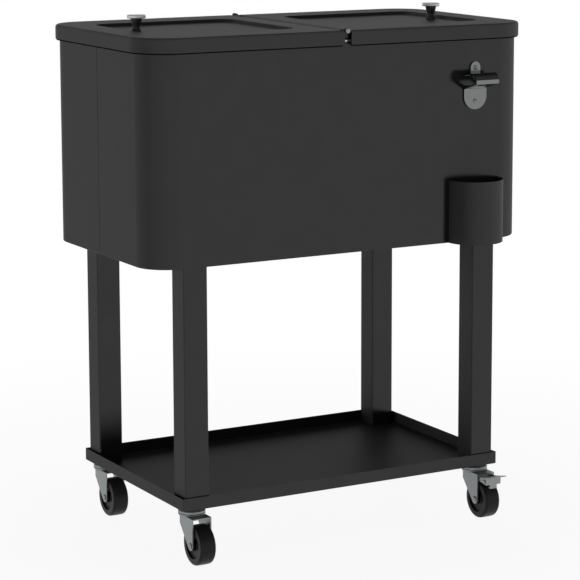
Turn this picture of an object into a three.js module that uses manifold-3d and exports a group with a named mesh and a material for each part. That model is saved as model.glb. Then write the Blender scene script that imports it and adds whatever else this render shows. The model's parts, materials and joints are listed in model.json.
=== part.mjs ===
// Rolling patio cooler: an insulated steel tub with two lids hinged on a centre bar,
// standing on four square legs over a shelf tray that rolls on four swivel casters.
// Millimetres, +Z up. The front faces -Y, and heights are counted from the ground.
import * as THREE from 'three';
import { mergeVertices } from 'three/addons/utils/BufferGeometryUtils.js';
import Module from 'manifold-3d';

const wasm = await Module();
wasm.setup();

// Clearances
const gap = 0.3;            // between pieces that touch
const overrun = 5;          // how far a cutting shape runs past what it cuts
const seamGap = 0.8;        // between the front and back shells

// Steps of the round shapes
const cornerSteps = 8;
const smallSteps = 3;
const roundSteps = 16;
const knobSteps = 24;
const wheelSteps = 28;
const holeSteps = 10;

// Tub
const tubWidth = 716;
const tubDepth = 388;
const tubCorner = 56;
const shellHeight = 351;
const sheet = 1.2;          // coated steel sheet of the shells and lids
const lipWidth = 18;        // turned-in lip under the shells
const foamWall = 22;
const foamFloor = 24;
const linerWall = 2.5;
const flangeHeight = 2.7;

// Drain under the tub
const drainInset = 133;     // from the tub's right end
const drainInsetDepth = 104; // from its back
const drainBore = 7;
const drainTube = 10;
const drainFlange = 16;
const drainFlangeHeight = 2;
const drainTail = 20;       // length of the tube below the tub
const nutRadius = 17;
const nutHeight = 7;
const nutSides = 6;
const capWall = 2.5;
const capHeight = 13;
const drainGripWidth = 4;
const drainGripHeight = 6;

// Lids
const lidOverhang = 7;      // lid past the tub on every side
const lidThickness = 15.7;  // over the rim
const skirtHeight = 24;
const lidEdge = 5;          // rounding of the lids' top edge
const splitGap = 1.5;       // between the two lids
const recessOuter = 54;     // flat border at the sunken field's outer end
const recessInner = 50;     // from the split to the sunken field
const recessEnd = 75;       // flat border before and behind it
const recessCorner = 26;
const recessDepth = 5.5;
const recessSlope = 7;      // width of the soft step down
const splitFall = 1.4;      // the lids' facing edges fall away by this much
const splitFallWidth = 9;
const barClearance = 3.6;   // centre bar to the lids' insulation
const panelThickness = 2;

// Knobs on the lids
const knobInset = 79;       // from the lid's outer end
const knobHeight = 22.5;
const knobFoot = 7;
const knobWaist = 5.2;
const knobShoulder = 8.8;
const knobCapRadius = 15.5;
const knobCapHeight = 6;
const knobCapEdge = 1.2;
const spigotRadius = 4;
const spigotLength = 5;
const knobScrewRadius = 2.5;
const knobScrewHead = 6;
const knobScrewHeadHeight = 2;
const knobScrewReach = 12;  // into the knob

// Lid hinge: short pins at the front and back end of a centre bar
const hingeDrop = 1;        // pin axis below the lids' top
const pinRadius = 2.2;
const pinHead = 4.2;
const pinHeadLength = 2.4;
const pinTail = 1;
const knuckleRadius = 4;
const earThickness = 1.8;
const lugThickness = 3;
const notchHalf = 6.2;      // half width of the notch in the lids at the pins
const notchDepth = 30;
const leafReach = 34;
const leafFlangeStart = 14;
const leafHeight = 10.5;
const leafSheet = 1.9;
const leafMargin = 1;       // round a leaf in its pocket
const pocketReach = 36;     // pocket for a leaf in the lid's insulation and panel
const pocketDepth = 15;
const barHalf = 12;
const barSheet = 1.5;
const barTopClearance = 3.5; // from the lids' top down to the bar
const barStart = 15;         // from the lids' front face to the bar's end
const barFootHeight = 2;

// Bottle opener on the front, on one centre line with the cap catcher below it
const openerInset = 106.5;  // from the tub's right end to that centre line
const openerSheet = 2.5;
const openerTabHalf = 9.6;
const openerHalf = 22.5;
const openerDrop = 63;      // from the lids' top to the top of the tab
const openerTabHeight = 20;
const openerHoodHeight = 27;
const openerPlateHeight = 34;
const openerReach = 40.5;
const openerCrestReach = 30;
const openerCrestRise = 3;
const openerShoulderReach = 37;
const openerShoulderDrop = 1;
const openerLipTopDrop = 8.3;
const openerLipHeight = 6.4;
const openerMouthHalf = 13.5;
const openerMouthStart = 9;
const openerMouthEnd = 34;
const screwShank = 2;
const screwHead = 3.8;
const screwHeadHeight = 1.9;
const screwDepth = 12;
const openerUpperScrewDrop = 10;
const openerLowerScrewRise = 14;

// Cap catcher: a half-oval cup that hangs on two screws
const catcherHalf = 49.7;
const catcherReach = 51.3;
const catcherHeight = 107.4;
const catcherWall = 1.4;
const catcherSteps = 24;
const catcherScrewSpread = 24;
const catcherScrewDrop = 19;
const catcherHead = 4.6;
const catcherLift = 8;

// Legs and shelf tray
const legSide = 43;
const legWall = 1.6;
const legCorner = 2.5;
const legLength = 397.9;
const legFootPlate = 3;
const legInsetX = 7;
const legInsetY = 4;
const trayInset = 53;       // from the tub's ends to the tray's
const trayInsetDepth = 2;
const trayRim = 21;
const traySheet = 1.5;

// Casters
const wheelRadius = 33.5;
const tyreHalf = 14;
const tyreEdge = 4;
const hubHalf = 15.2;
const hubRadius = 9;
const wheelDishRadius = 22;
const wheelDish = 4;        // how far the wheel's sides are sunk
const axleRadius = 3;
const axleHead = 5.2;
const axleHeadHeight = 1.8;
const wheelTrail = 28;
const wheelClearance = 10.2; // tread to crown
const forkSheet = 2;
const forkGap = 0.3;        // hub to fork
const forkNose = 8.3;       // from the axle to the fork's front edge
const forkBack = 9.5;       // from the swivel axis to the fork's back edge
const forkShoulder = 15;    // straight part of the back edge
const crownRadius = 21.5;
const apronHeight = 9;
const raceRadius = 22.5;
const raceNeck = 17;
const raceTaper = 4.5;
const raceHeight = 11.2;
const kingpinRadius = 4.7;
const kingpinHead = 8;
const kingpinHeadHeight = 2.5;
const stemRadius = 5;
const stemLength = 18;

// Brake pedals on the two right-hand casters
const pedalPivotAhead = 26;  // ahead of the axle
const pedalPivotUp = 36.8;   // above the axle
const pedalHalf = 14.8;
const pedalSheet = 1.6;
const pedalTail = 14;
const pedalNose = 6.6;
const pedalRise = 8.5;
const pedalLipRise = 4.7;
const pedalTailDrop = 2.6;
const pedalNoseDrop = 5.3;
const pedalShoeDrop = 12.4;
const pedalShoeHalf = 7;
const pedalShoe = 2.2;
const pedalShoeDepth = 6.4;
const pedalToe = 17.2;
const pedalToeRise = 4.2;
const brakeEarHalf = 12.6;
const brakeEarRadius = 4.4;
const brakeEarDrop = 1.8;
const brakePinRadius = 2.2;
const brakePinHead = 3.6;
const brakePinHeadHeight = 1.2;

// Heights that follow from the sizes, from the ground up
const axleHeight = wheelRadius;
const crownUnder = axleHeight + wheelRadius + wheelClearance;
const crownTop = crownUnder + forkSheet;
const raceBottom = crownTop + gap;
const raceTop = raceBottom + raceHeight;
const trayBottom = raceTop + gap;
const legBottom = trayBottom + traySheet + gap;
const tubBottom = legBottom + legLength + gap;
const shellTop = tubBottom + shellHeight;
const rimTop = shellTop + gap + flangeHeight;
const panelBottom = rimTop + gap;
const lidTop = panelBottom + lidThickness;
const hingeHeight = lidTop - hingeDrop;
const recessFloor = lidTop - recessDepth;
const trayFloor = trayBottom + traySheet;

// Plan sizes that follow
const lidWidth = tubWidth + 2 * lidOverhang;
const lidDepth = tubDepth + 2 * lidOverhang;
const lidCorner = tubCorner + lidOverhang;
const tubFront = -tubDepth / 2;
const drainX = tubWidth / 2 - drainInset;
const drainY = tubDepth / 2 - drainInsetDepth;
const openerX = tubWidth / 2 - openerInset;
const trayWidth = tubWidth - 2 * trayInset;
const trayDepth = tubDepth - 2 * trayInsetDepth;
const legX = trayWidth / 2 - legInsetX - legSide / 2;
const legY = trayDepth / 2 - legInsetY - legSide / 2;
const knobX = lidWidth / 2 - knobInset;
const lidFront = lidDepth / 2;

// Finishes: colour, roughness, metalness
const finishes = {
  coat: [0x3b3b3d, 0.55, 0.2],
  steel: [0xb9bcbf, 0.3, 0.9],
  chrome: [0xdfe2e4, 0.12, 1],
  zinc: [0xa9b0b4, 0.38, 0.9],
  liner: [0xc9cbcd, 0.4, 0],
  foam: [0xe6ddbb, 0.95, 0],
  plastic: [0x1b1b1d, 0.45, 0],
  tyre: [0x2b2c2e, 0.6, 0],
};

const upX = new THREE.Vector3(1, 0, 0);
const upY = new THREE.Vector3(0, 1, 0);
const upZ = new THREE.Vector3(0, 0, 1);
const turnAlongX = new THREE.Matrix4().makeBasis(upY, upZ, upX);
const turnAlongY = new THREE.Matrix4().makeBasis(upX, upZ, upY.clone().negate());

// Makes a solid of a closed geometry: shared vertices are merged, slivers dropped, faces turned out.
function solidOf(source) {
  const plain = new THREE.BufferGeometry();
  plain.setAttribute('position', source.getAttribute('position'));
  if (source.index) plain.setIndex(source.index);
  const merged = mergeVertices(plain);
  const points = merged.getAttribute('position').array;
  const corners = merged.index.array;
  const triangles = [];
  let volume = 0;
  for (let i = 0; i < corners.length; i += 3) {
    const [a, b, c] = [corners[i], corners[i + 1], corners[i + 2]];
    if (a === b || b === c || c === a) continue;
    const at = (k) => new THREE.Vector3().fromArray(points, 3 * k);
    volume += at(a).dot(at(b).cross(at(c)));
    triangles.push([a, b, c]);
  }
  if (volume < 0) triangles.forEach((triangle) => triangle.reverse());
  return new wasm.Manifold(new wasm.Mesh({
    numProp: 3,
    vertProperties: new Float32Array(points),
    triVerts: new Uint32Array(triangles.flat()),
  }));
}

function cut(solid, ...tools) {
  return tools.reduce((rest, tool) => rest.subtract(tool), solid);
}

function join(...solids) {
  return solids.reduce((all, solid) => all.add(solid));
}

// Outlines are lists of points, run anticlockwise.
function arc(x, y, radius, from, to, steps) {
  const points = [];
  for (let i = 0; i <= steps; i += 1) {
    const turn = THREE.MathUtils.degToRad(from + ((to - from) * i) / steps);
    points.push([x + radius * Math.cos(turn), y + radius * Math.sin(turn)]);
  }
  return points;
}

function circle(x, y, radius, steps = roundSteps) {
  return arc(x, y, radius, 0, 360, steps).slice(0, -1);
}

function rectangle(x0, x1, y0, y1, radius = 0, steps = cornerSteps) {
  if (radius === 0) return [[x0, y0], [x1, y0], [x1, y1], [x0, y1]];
  return [
    ...arc(x0 + radius, y0 + radius, radius, 180, 270, steps),
    ...arc(x1 - radius, y0 + radius, radius, 270, 360, steps),
    ...arc(x1 - radius, y1 - radius, radius, 0, 90, steps),
    ...arc(x0 + radius, y1 - radius, radius, 90, 180, steps),
  ];
}

// A rectangle about the middle, drawn in by an inset.
function centred(width, depth, radius, inset = 0) {
  const [x, y] = [width / 2 - inset, depth / 2 - inset];
  return rectangle(-x, x, -y, y, radius - inset);
}

function extruded(outline, from, to) {
  const shape = new THREE.Shape(outline.map(([x, y]) => new THREE.Vector2(x, y)));
  const geometry = new THREE.ExtrudeGeometry(shape, { depth: to - from, bevelEnabled: false });
  return geometry.translate(0, 0, from);
}

// Prisms along Z (outline in x, y), along X (outline in y, z) and along Y (outline in x, z).
function prism(outline, z0, z1) {
  return solidOf(extruded(outline, z0, z1));
}

function prismX(outline, x0, x1) {
  return solidOf(extruded(outline, x0, x1).applyMatrix4(turnAlongX));
}

function prismY(outline, y0, y1) {
  return solidOf(extruded(outline, -y1, -y0).applyMatrix4(turnAlongY));
}

function block(x0, x1, y0, y1, z0, z1) {
  return prism(rectangle(x0, x1, y0, y1), z0, z1);
}

// A body of convex rings, one over the other, each with as many points.
function stacked(rings) {
  const count = rings[0].outline.length;
  const points = rings.flatMap(({ outline, z }) => outline.flatMap(([x, y]) => [x, y, z]));
  const faces = [];
  rings.slice(1).forEach((ring, level) => {
    for (let i = 0; i < count; i += 1) {
      const low = level * count;
      const [a, b] = [low + i, low + ((i + 1) % count)];
      faces.push(a, b, b + count, a, b + count, a + count);
    }
  });
  const top = (rings.length - 1) * count;
  for (let i = 1; i < count - 1; i += 1) {
    faces.push(0, i + 1, i, top, top + i, top + i + 1);
  }
  const geometry = new THREE.BufferGeometry();
  geometry.setAttribute('position', new THREE.Float32BufferAttribute(points, 3));
  geometry.setIndex(faces);
  return solidOf(geometry);
}

// A turned body about the Z axis: the profile is a list of radius and height.
function turnedGeometry(profile, steps = roundSteps, start = 0) {
  const points = profile.map(([radius, height]) => new THREE.Vector2(radius, height));
  return new THREE.LatheGeometry(points, steps, start).rotateX(Math.PI / 2);
}

function turned(profile, steps) {
  return solidOf(turnedGeometry(profile, steps));
}

// Turned about a line along X through (y, z); heights in the profile run along X.
function turnedX(profile, y, z, steps, start) {
  const geometry = turnedGeometry(profile, steps, start).rotateY(Math.PI / 2);
  return solidOf(geometry.translate(0, y, z));
}

// Turned about a line along Y through (x, z); heights in the profile run towards -Y.
function turnedY(profile, x, z, steps) {
  const geometry = turnedGeometry(profile, steps).rotateX(Math.PI / 2);
  return solidOf(geometry.translate(x, 0, z));
}

function geometryOf(solid) {
  const { vertProperties, triVerts } = solid.getMesh();
  const geometry = new THREE.BufferGeometry();
  geometry.setAttribute('position', new THREE.BufferAttribute(vertProperties, 3));
  geometry.setIndex(new THREE.BufferAttribute(triVerts, 1));
  return geometry;
}

// The same solid mirrored where a sign is -1.
function mirrored(solid, alongX, alongY = 1) {
  return solidOf(geometryOf(solid).scale(alongX, alongY, 1));
}

function piece(name, solid, finish) {
  const geometry = geometryOf(solid);
  geometry.computeVertexNormals();
  const [color, roughness, metalness] = finishes[finish];
  const mesh = new THREE.Mesh(geometry, new THREE.MeshStandardMaterial({ color, roughness, metalness }));
  mesh.name = name;
  return mesh;
}

// Places shared by several pieces
const openerTop = lidTop - openerDrop;
const hoodTop = openerTop - openerTabHeight;
const hoodBottom = hoodTop - openerHoodHeight;
const openerBottom = hoodBottom - openerPlateHeight;
const openerScrews = [
  { name: 'opener_upper_screw', x: openerX, z: openerTop - openerUpperScrewDrop },
  { name: 'opener_lower_screw', x: openerX, z: openerBottom + openerLowerScrewRise },
];
const catcherTop = tubBottom + catcherHeight;
const catcherScrews = [
  { name: 'catcher_left_screw', x: openerX - catcherScrewSpread, z: catcherTop - catcherScrewDrop },
  { name: 'catcher_right_screw', x: openerX + catcherScrewSpread, z: catcherTop - catcherScrewDrop },
];

// Holes in the front wall for the screws of the opener and the catcher, down to the screws' ends.
function frontHoles() {
  return [...openerScrews, ...catcherScrews].map(({ x, z }) => (
    prismY(circle(x, z, screwShank + gap, holeSteps), tubFront - overrun, tubFront + screwDepth + gap)
  ));
}

function drainHole(radius, z0, z1) {
  return prism(circle(drainX, drainY, radius + gap), z0, z1);
}

// The shells are two bent sheets, front and back, with a lip turned in under the tub.
function tubShell() {
  const outline = (inset) => centred(tubWidth, tubDepth, tubCorner, inset);
  const walls = prism(outline(0), tubBottom, shellTop);
  const inside = prism(outline(sheet), tubBottom + sheet, shellTop + overrun);
  const window = prism(outline(lipWidth), tubBottom - overrun, shellTop);
  return cut(walls, inside, window);
}

function halfSpace(side) {
  const x = tubWidth / 2 + overrun;
  const near = (side * seamGap) / 2;
  const far = side * (tubDepth / 2 + overrun);
  return block(-x, x, Math.min(near, far), Math.max(near, far), tubBottom - overrun, shellTop + overrun);
}

const baseBottom = tubBottom + sheet + gap;
const foamBottom = baseBottom + sheet + gap;
const linerBottom = foamBottom + foamFloor;
const linerInset = sheet + gap + foamWall;
const linerFloor = linerBottom + linerWall;

function basePanel() {
  const panel = prism(centred(tubWidth, tubDepth, tubCorner, sheet + gap), baseBottom, baseBottom + sheet);
  return cut(panel, drainHole(drainTube, baseBottom - overrun, baseBottom + overrun));
}

function insulation() {
  const outline = (inset) => centred(tubWidth, tubDepth, tubCorner, inset);
  const outer = prism(outline(sheet + gap), foamBottom, shellTop);
  const inside = prism(outline(linerInset - gap), linerBottom - gap, shellTop + overrun);
  const drain = drainHole(drainTube, foamBottom - overrun, linerBottom + overrun);
  return cut(outer, inside, drain, ...frontHoles());
}

function innerLiner() {
  const flange = prism(centred(tubWidth, tubDepth, tubCorner, gap), shellTop + gap, rimTop);
  const body = prism(centred(tubWidth, tubDepth, tubCorner, linerInset), linerBottom, rimTop);
  const inset = linerInset + linerWall;
  const inside = prism(centred(tubWidth, tubDepth, tubCorner, inset), linerFloor, rimTop + overrun);
  return cut(join(flange, body), inside, drainHole(drainTube, linerBottom - overrun, linerFloor + overrun));
}

function addTub(group) {
  const shell = tubShell();
  group.add(piece('front_shell', cut(shell.intersect(halfSpace(-1)), ...frontHoles()), 'coat'));
  group.add(piece('back_shell', shell.intersect(halfSpace(1)), 'coat'));
  group.add(piece('base_panel', basePanel(), 'coat'));
  group.add(piece('insulation', insulation(), 'foam'));
  group.add(piece('inner_liner', innerLiner(), 'liner'));
}

// The drain: a flanged tube through the tub's floor, held by a nut and closed by a screw cap.
function addDrain(group) {
  const drain = new THREE.Group();
  drain.position.set(drainX, drainY, 0);
  const top = linerFloor + gap;
  const tail = tubBottom - drainTail;
  drain.add(piece('drain_spout', turned([
    [drainBore, tail],
    [drainTube, tail],
    [drainTube, top],
    [drainFlange, top],
    [drainFlange, top + drainFlangeHeight],
    [drainBore, top + drainFlangeHeight],
    [drainBore, tail],
  ]), 'plastic'));
  const nutTop = baseBottom - gap;
  const nut = prism(circle(0, 0, nutRadius, nutSides), nutTop - nutHeight, nutTop);
  const bore = prism(circle(0, 0, drainTube + gap), nutTop - nutHeight - overrun, nutTop + overrun);
  drain.add(piece('drain_nut', cut(nut, bore), 'plastic'));
  const capBottom = tail - gap - capWall;
  const capOuter = drainTube + gap + capWall;
  const cup = turned([
    [0, capBottom],
    [capOuter, capBottom],
    [capOuter, capBottom + capHeight],
    [drainTube + gap, capBottom + capHeight],
    [drainTube + gap, tail - gap],
    [0, tail - gap],
  ]);
  const [half, depth] = [drainGripWidth / 2, capBottom - drainGripHeight];
  const grip = block(-capOuter + capWall, capOuter - capWall, -half, half, depth, capBottom + capWall / 2);
  drain.add(piece('drain_cap', join(cup, grip), 'plastic'));
  group.add(drain);
}

// Both lids as one body, drawn in on all sides by an inset; each lid is half of it.
function lidBody(inset, bottom) {
  const ring = (more, z) => ({ outline: centred(lidWidth, lidDepth, lidCorner, inset + more), z });
  const edge = lidEdge - inset;
  const top = lidTop - inset;
  const rings = [ring(0, bottom)];
  for (let i = 0; i <= smallSteps; i += 1) {
    const turn = (Math.PI / 2) * (i / smallSteps);
    rings.push(ring(edge * (1 - Math.cos(turn)), top - edge + edge * Math.sin(turn)));
  }
  return stacked(rings);
}

// The outline of the left lid's sunken field, drawn in by an inset.
function fieldOutline(inset) {
  const y = lidFront - recessEnd - inset;
  const outer = -lidWidth / 2 + recessOuter + inset;
  return rectangle(outer, -recessInner - inset, -y, y, recessCorner - inset);
}

// Shares of the soft step: how far in, and how far down.
const stepShares = [[0, 0], [0.15, 0.12], [0.6, 0.85], [1, 1]];

// The space over the sunken field, grown by a margin and lowered where it shapes the underside.
function sunkenField(margin) {
  const rings = stepShares.map(([slope, depth]) => ({
    outline: fieldOutline(recessSlope * slope - margin),
    z: lidTop - margin - recessDepth * depth,
  })).reverse();
  return stacked([...rings, { outline: fieldOutline(-margin), z: lidTop + overrun }]);
}

// The space over the lids' facing edges, which fall away so that both lids can stand open together.
function fallenEdge(margin) {
  const high = lidTop - margin;
  return prismY([
    [overrun, high - splitFall],
    [overrun, lidTop + overrun],
    [-splitFallWidth, lidTop + overrun],
    [-splitFallWidth, high],
    [-splitGap / 2, high - splitFall],
  ], -lidDepth, lidDepth);
}

// What lies left of a plane, over the whole depth of the lids.
function leftOf(x) {
  return block(-lidWidth, x, -lidDepth, lidDepth, tubBottom, lidTop + knobHeight);
}

// A box at the front and the same at the back, from a depth behind the lids' front face outwards.
function bothEnds(x0, x1, depth, z0, z1) {
  const far = lidFront + overrun;
  return [
    block(x0, x1, -far, -lidFront + depth, z0, z1),
    block(x0, x1, lidFront - depth, far, z0, z1),
  ];
}

const lidSkirtBottom = lidTop - skirtHeight;
const coreEnd = -barHalf - barClearance;

function lidShell() {
  const outer = cut(lidBody(0, lidSkirtBottom), sunkenField(0), fallenEdge(0));
  const hollow = cut(lidBody(sheet, lidSkirtBottom - overrun), sunkenField(sheet), fallenEdge(sheet));
  const notches = bothEnds(-notchHalf, notchHalf, notchDepth, lidSkirtBottom - overrun, lidTop + overrun);
  const screwHole = prism(circle(-knobX, 0, knobScrewRadius + gap), recessFloor - recessDepth, lidTop);
  return cut(outer, hollow, screwHole, ...notches).intersect(leftOf(-splitGap / 2));
}

function leafPockets() {
  return bothEnds(-pocketReach, 0, pocketDepth, rimTop, lidTop + overrun);
}

// The insulation fills the lid between the sheet and the inner panel.
function lidCore() {
  const margin = sheet + gap;
  const body = cut(lidBody(margin, panelBottom + panelThickness + gap), sunkenField(margin));
  const headSpace = prism(circle(-knobX, 0, knobScrewHead + gap), panelBottom, lidTop);
  return cut(body, headSpace, ...leafPockets()).intersect(leftOf(coreEnd));
}

function lidPanel() {
  const outline = centred(lidWidth, lidDepth, lidCorner, sheet + gap);
  const plate = prism(outline, panelBottom, panelBottom + panelThickness);
  return cut(plate, ...leafPockets()).intersect(leftOf(coreEnd));
}

// Shares of the knob's flare: how far from the waist to the shoulder, and how far up.
const flareShares = [[0, 0.2], [0, 0.35], [0.5, 0.75], [1, 1]];

// A knob: a flaring stem, a bright cap on a spigot and a screw from below.
function knob(side) {
  const foot = recessFloor + gap;
  const top = foot + knobHeight;
  const bore = knobScrewRadius + gap;
  const socket = top - spigotLength - gap;
  const reach = foot + knobScrewReach + gap;
  const capBottom = top + gap;
  const capTop = capBottom + knobCapHeight;
  const headTop = recessFloor - sheet - gap;
  const headBottom = headTop - knobScrewHeadHeight;
  const group = new THREE.Group();
  group.position.x = side.sign * knobX;
  group.add(piece(`${side.name}_knob_stem`, turned([
    [0, reach],
    [bore, reach],
    [bore, foot],
    [knobFoot, foot],
    ...flareShares.map(([out, up]) => [
      knobWaist + (knobShoulder - knobWaist) * out,
      foot + knobHeight * up,
    ]),
    [spigotRadius + gap, top],
    [spigotRadius + gap, socket],
    [0, socket],
  ]), 'plastic'));
  group.add(piece(`${side.name}_knob_cap`, turned([
    [0, socket + gap],
    [spigotRadius, socket + gap],
    [spigotRadius, capBottom],
    [knobCapRadius - knobCapEdge, capBottom],
    [knobCapRadius, capBottom + knobCapEdge],
    [knobCapRadius, capTop - knobCapEdge],
    [knobCapRadius - knobCapEdge, capTop],
    [0, capTop],
  ], knobSteps), 'chrome'));
  group.add(piece(`${side.name}_knob_screw`, turned([
    [0, headBottom],
    [knobScrewHead, headBottom],
    [knobScrewHead, headTop],
    [knobScrewRadius, headTop],
    [knobScrewRadius, reach - gap],
    [0, reach - gap],
  ]), 'zinc'));
  return group;
}

// From the lids' front face inwards at each pin: head, outer ear, lug of the bar, inner ear, tail.
const outerEar = pinHeadLength + gap;
const lugStart = outerEar + earThickness + gap;
const innerEar = lugStart + lugThickness + gap;
const pinEnd = innerEar + earThickness + pinTail;
const pinHole = pinRadius + gap;

function alongPin(x, z, radius, start, end) {
  return prismY(circle(x, z, radius), -lidFront + start, -lidFront + end);
}

// The left lid's leaf at the front, with its ear a distance behind the lids' front face.
function hingeLeaf(ear) {
  const top = lidTop - sheet - gap;
  const bottom = top - leafHeight;
  const [front, back] = [-lidFront + ear, -lidFront + ear + earThickness];
  const ring = alongPin(0, hingeHeight, knuckleRadius, ear, ear + earThickness);
  const arm = block(-leafReach, 0, front, back, bottom, top - splitFall);
  const [outer, inner] = [-lidFront + outerEar, -lidFront + pocketDepth - leafMargin];
  const flange = prismX([
    [outer, top - leafSheet],
    [inner, top - leafSheet],
    [inner, top],
    [-lidFront + lidEdge, top],
    [outer, top - splitFall],
  ], -leafReach, -leafFlangeStart);
  const hole = alongPin(0, hingeHeight, pinHole, ear - overrun, ear + earThickness + overrun);
  return cut(join(ring, arm, flange), hole);
}

function hingePin() {
  return turnedY([
    [0, lidFront],
    [pinHead, lidFront],
    [pinHead, lidFront - pinHeadLength],
    [pinRadius, lidFront - pinHeadLength],
    [pinRadius, lidFront - pinEnd],
    [0, lidFront - pinEnd],
  ], 0, hingeHeight);
}

// The centre bar: a channel, open below, with closed ends and a foot and a lug past each end.
function centreBar() {
  const end = lidFront - barStart;
  const top = lidTop - barTopClearance;
  const hollowEnd = end - barSheet;
  const hollowHalf = barHalf - barSheet;
  const channel = cut(
    block(-barHalf, barHalf, -end, end, panelBottom, top),
    block(-hollowHalf, hollowHalf, -hollowEnd, hollowEnd, panelBottom - overrun, top - barSheet),
  );
  const foot = block(
    -knuckleRadius,
    knuckleRadius,
    -lidFront + lugStart,
    -hollowEnd,
    panelBottom,
    panelBottom + barFootHeight,
  );
  const lug = prismY([
    [-knuckleRadius, panelBottom],
    [knuckleRadius, panelBottom],
    ...arc(0, hingeHeight, knuckleRadius, 0, 180, roundSteps / 2),
  ], -lidFront + lugStart, -lidFront + lugStart + lugThickness);
  const hole = alongPin(0, hingeHeight, pinHole, lugStart - overrun, lugStart + lugThickness + overrun);
  const frontEnd = cut(join(foot, lug), hole);
  return join(channel, frontEnd, mirrored(frontEnd, 1, -1));
}

const sides = [{ name: 'left', sign: -1 }, { name: 'right', sign: 1 }];
const ends = [{ name: 'front', sign: -1 }, { name: 'back', sign: 1 }];

function addLids(group) {
  const parts = [
    ['lid_shell', lidShell(), 'coat'],
    ['lid_core', lidCore(), 'foam'],
    ['lid_panel', lidPanel(), 'liner'],
  ];
  for (const side of sides) {
    for (const [name, solid, finish] of parts) {
      group.add(piece(`${side.name}_${name}`, mirrored(solid, -side.sign), finish));
    }
    group.add(knob(side));
  }
}

function addHinge(group) {
  group.add(piece('centre_bar', centreBar(), 'steel'));
  for (const end of ends) {
    group.add(piece(`${end.name}_hinge_pin`, mirrored(hingePin(), 1, -end.sign), 'steel'));
    for (const side of sides) {
      const leaf = hingeLeaf(side.sign < 0 ? outerEar : innerEar);
      const name = `${side.name}_${end.name}_hinge_leaf`;
      group.add(piece(name, mirrored(leaf, -side.sign, -end.sign), 'steel'));
    }
  }
}

// A closed outline moved inwards by a distance; the outline runs anticlockwise.
function drawnIn(outline, distance) {
  const count = outline.length;
  return outline.map(([x, y], i) => {
    const [px, py] = outline[(i + count - 1) % count];
    const [nx, ny] = outline[(i + 1) % count];
    const before = new THREE.Vector2(py - y, x - px).normalize();
    const after = new THREE.Vector2(y - ny, nx - x).normalize();
    const middle = before.add(after);
    const reach = (2 * distance) / middle.lengthSq();
    return [x + middle.x * reach, y + middle.y * reach];
  });
}

// Shares of the hood's crest where its rise eases off.
const hoodShares = { out: 0.55, up: 0.8 };

// The bottle opener is one folded sheet: a tab and a plate on the wall, and a hood between them.
function bottleOpener() {
  const wall = tubFront - gap;
  const lipTop = hoodTop - openerLipTopDrop;
  const hood = [
    [wall, hoodTop],
    [wall - openerCrestReach * hoodShares.out, hoodTop + openerCrestRise * hoodShares.up],
    [wall - openerCrestReach, hoodTop + openerCrestRise],
    [wall - openerShoulderReach, hoodTop - openerShoulderDrop],
    [wall - openerReach, lipTop],
    [wall - openerReach, lipTop - openerLipHeight],
    [wall, hoodBottom],
  ];
  const [x0, x1] = [openerX - openerHalf, openerX + openerHalf];
  const hoop = cut(prismX(hood, x0, x1), prismX(drawnIn(hood, openerSheet), x0 - overrun, x1 + overrun));
  const tab = prismY([
    [openerX - openerTabHalf, hoodTop - openerSheet],
    [openerX + openerTabHalf, hoodTop - openerSheet],
    ...arc(openerX, openerTop - openerTabHalf, openerTabHalf, 0, 180, cornerSteps),
  ], wall - openerSheet, wall);
  const plate = prismY([
    ...arc(openerX, openerBottom + openerHalf, openerHalf, 180, 360, roundSteps),
    [x1, hoodBottom + openerSheet],
    [x0, hoodBottom + openerSheet],
  ], wall - openerSheet, wall);
  const mouth = block(
    openerX - openerMouthHalf,
    openerX + openerMouthHalf,
    wall - openerMouthEnd,
    wall - openerMouthStart,
    hoodBottom - overrun,
    lipTop - openerSheet,
  );
  const holes = openerScrews.map(({ x, z }) => (
    prismY(circle(x, z, screwShank + gap, holeSteps), wall - openerSheet - overrun, wall + overrun)
  ));
  return cut(join(hoop, tab, plate), mouth, ...holes);
}

// Shares of a screw's domed head: the flat on its top and its straight side.
const domeShares = { out: 0.6, up: 0.4 };

// A round-headed screw along Y that holds a sheet on the front wall.
function wallScrew(name, x, z, held) {
  const seat = -tubFront + gap + held + gap;
  return piece(name, turnedY([
    [0, seat + screwHeadHeight],
    [screwHead * domeShares.out, seat + screwHeadHeight],
    [screwHead, seat + screwHeadHeight * domeShares.up],
    [screwHead, seat],
    [screwShank, seat],
    [screwShank, -tubFront - screwDepth],
    [0, -tubFront - screwDepth],
  ], x, z, roundSteps), 'zinc');
}

// The cap catcher: half an oval, flat on the wall, open above, with two keyholes in its back.
function capCatcher() {
  const wall = tubFront - gap;
  const halfOval = (half, reach, y) => {
    const points = [];
    for (let i = 0; i <= catcherSteps; i += 1) {
      const turn = Math.PI * (1 + i / catcherSteps);
      points.push([openerX + half * Math.cos(turn), y + reach * Math.sin(turn)]);
    }
    return points;
  };
  const cup = cut(
    prism(halfOval(catcherHalf, catcherReach, wall), tubBottom, catcherTop),
    prism(
      halfOval(catcherHalf - catcherWall, catcherReach - 2 * catcherWall, wall - catcherWall),
      tubBottom + catcherWall,
      catcherTop + overrun,
    ),
  );
  const slotHalf = screwShank + gap;
  const through = (outline) => prismY(outline, wall - 2 * catcherWall, wall + overrun);
  const keyholes = catcherScrews.flatMap(({ x, z }) => [
    through(circle(x, z, slotHalf)),
    through(rectangle(x - slotHalf, x + slotHalf, z - catcherLift, z)),
    through(circle(x, z - catcherLift, catcherHead)),
  ]);
  return cut(cup, ...keyholes);
}

function addFrontFittings(group) {
  group.add(piece('bottle_opener', bottleOpener(), 'zinc'));
  openerScrews.forEach(({ name, x, z }) => group.add(wallScrew(name, x, z, openerSheet)));
  group.add(piece('cap_catcher', capCatcher(), 'coat'));
  catcherScrews.forEach(({ name, x, z }) => group.add(wallScrew(name, x, z, catcherWall)));
}

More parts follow.
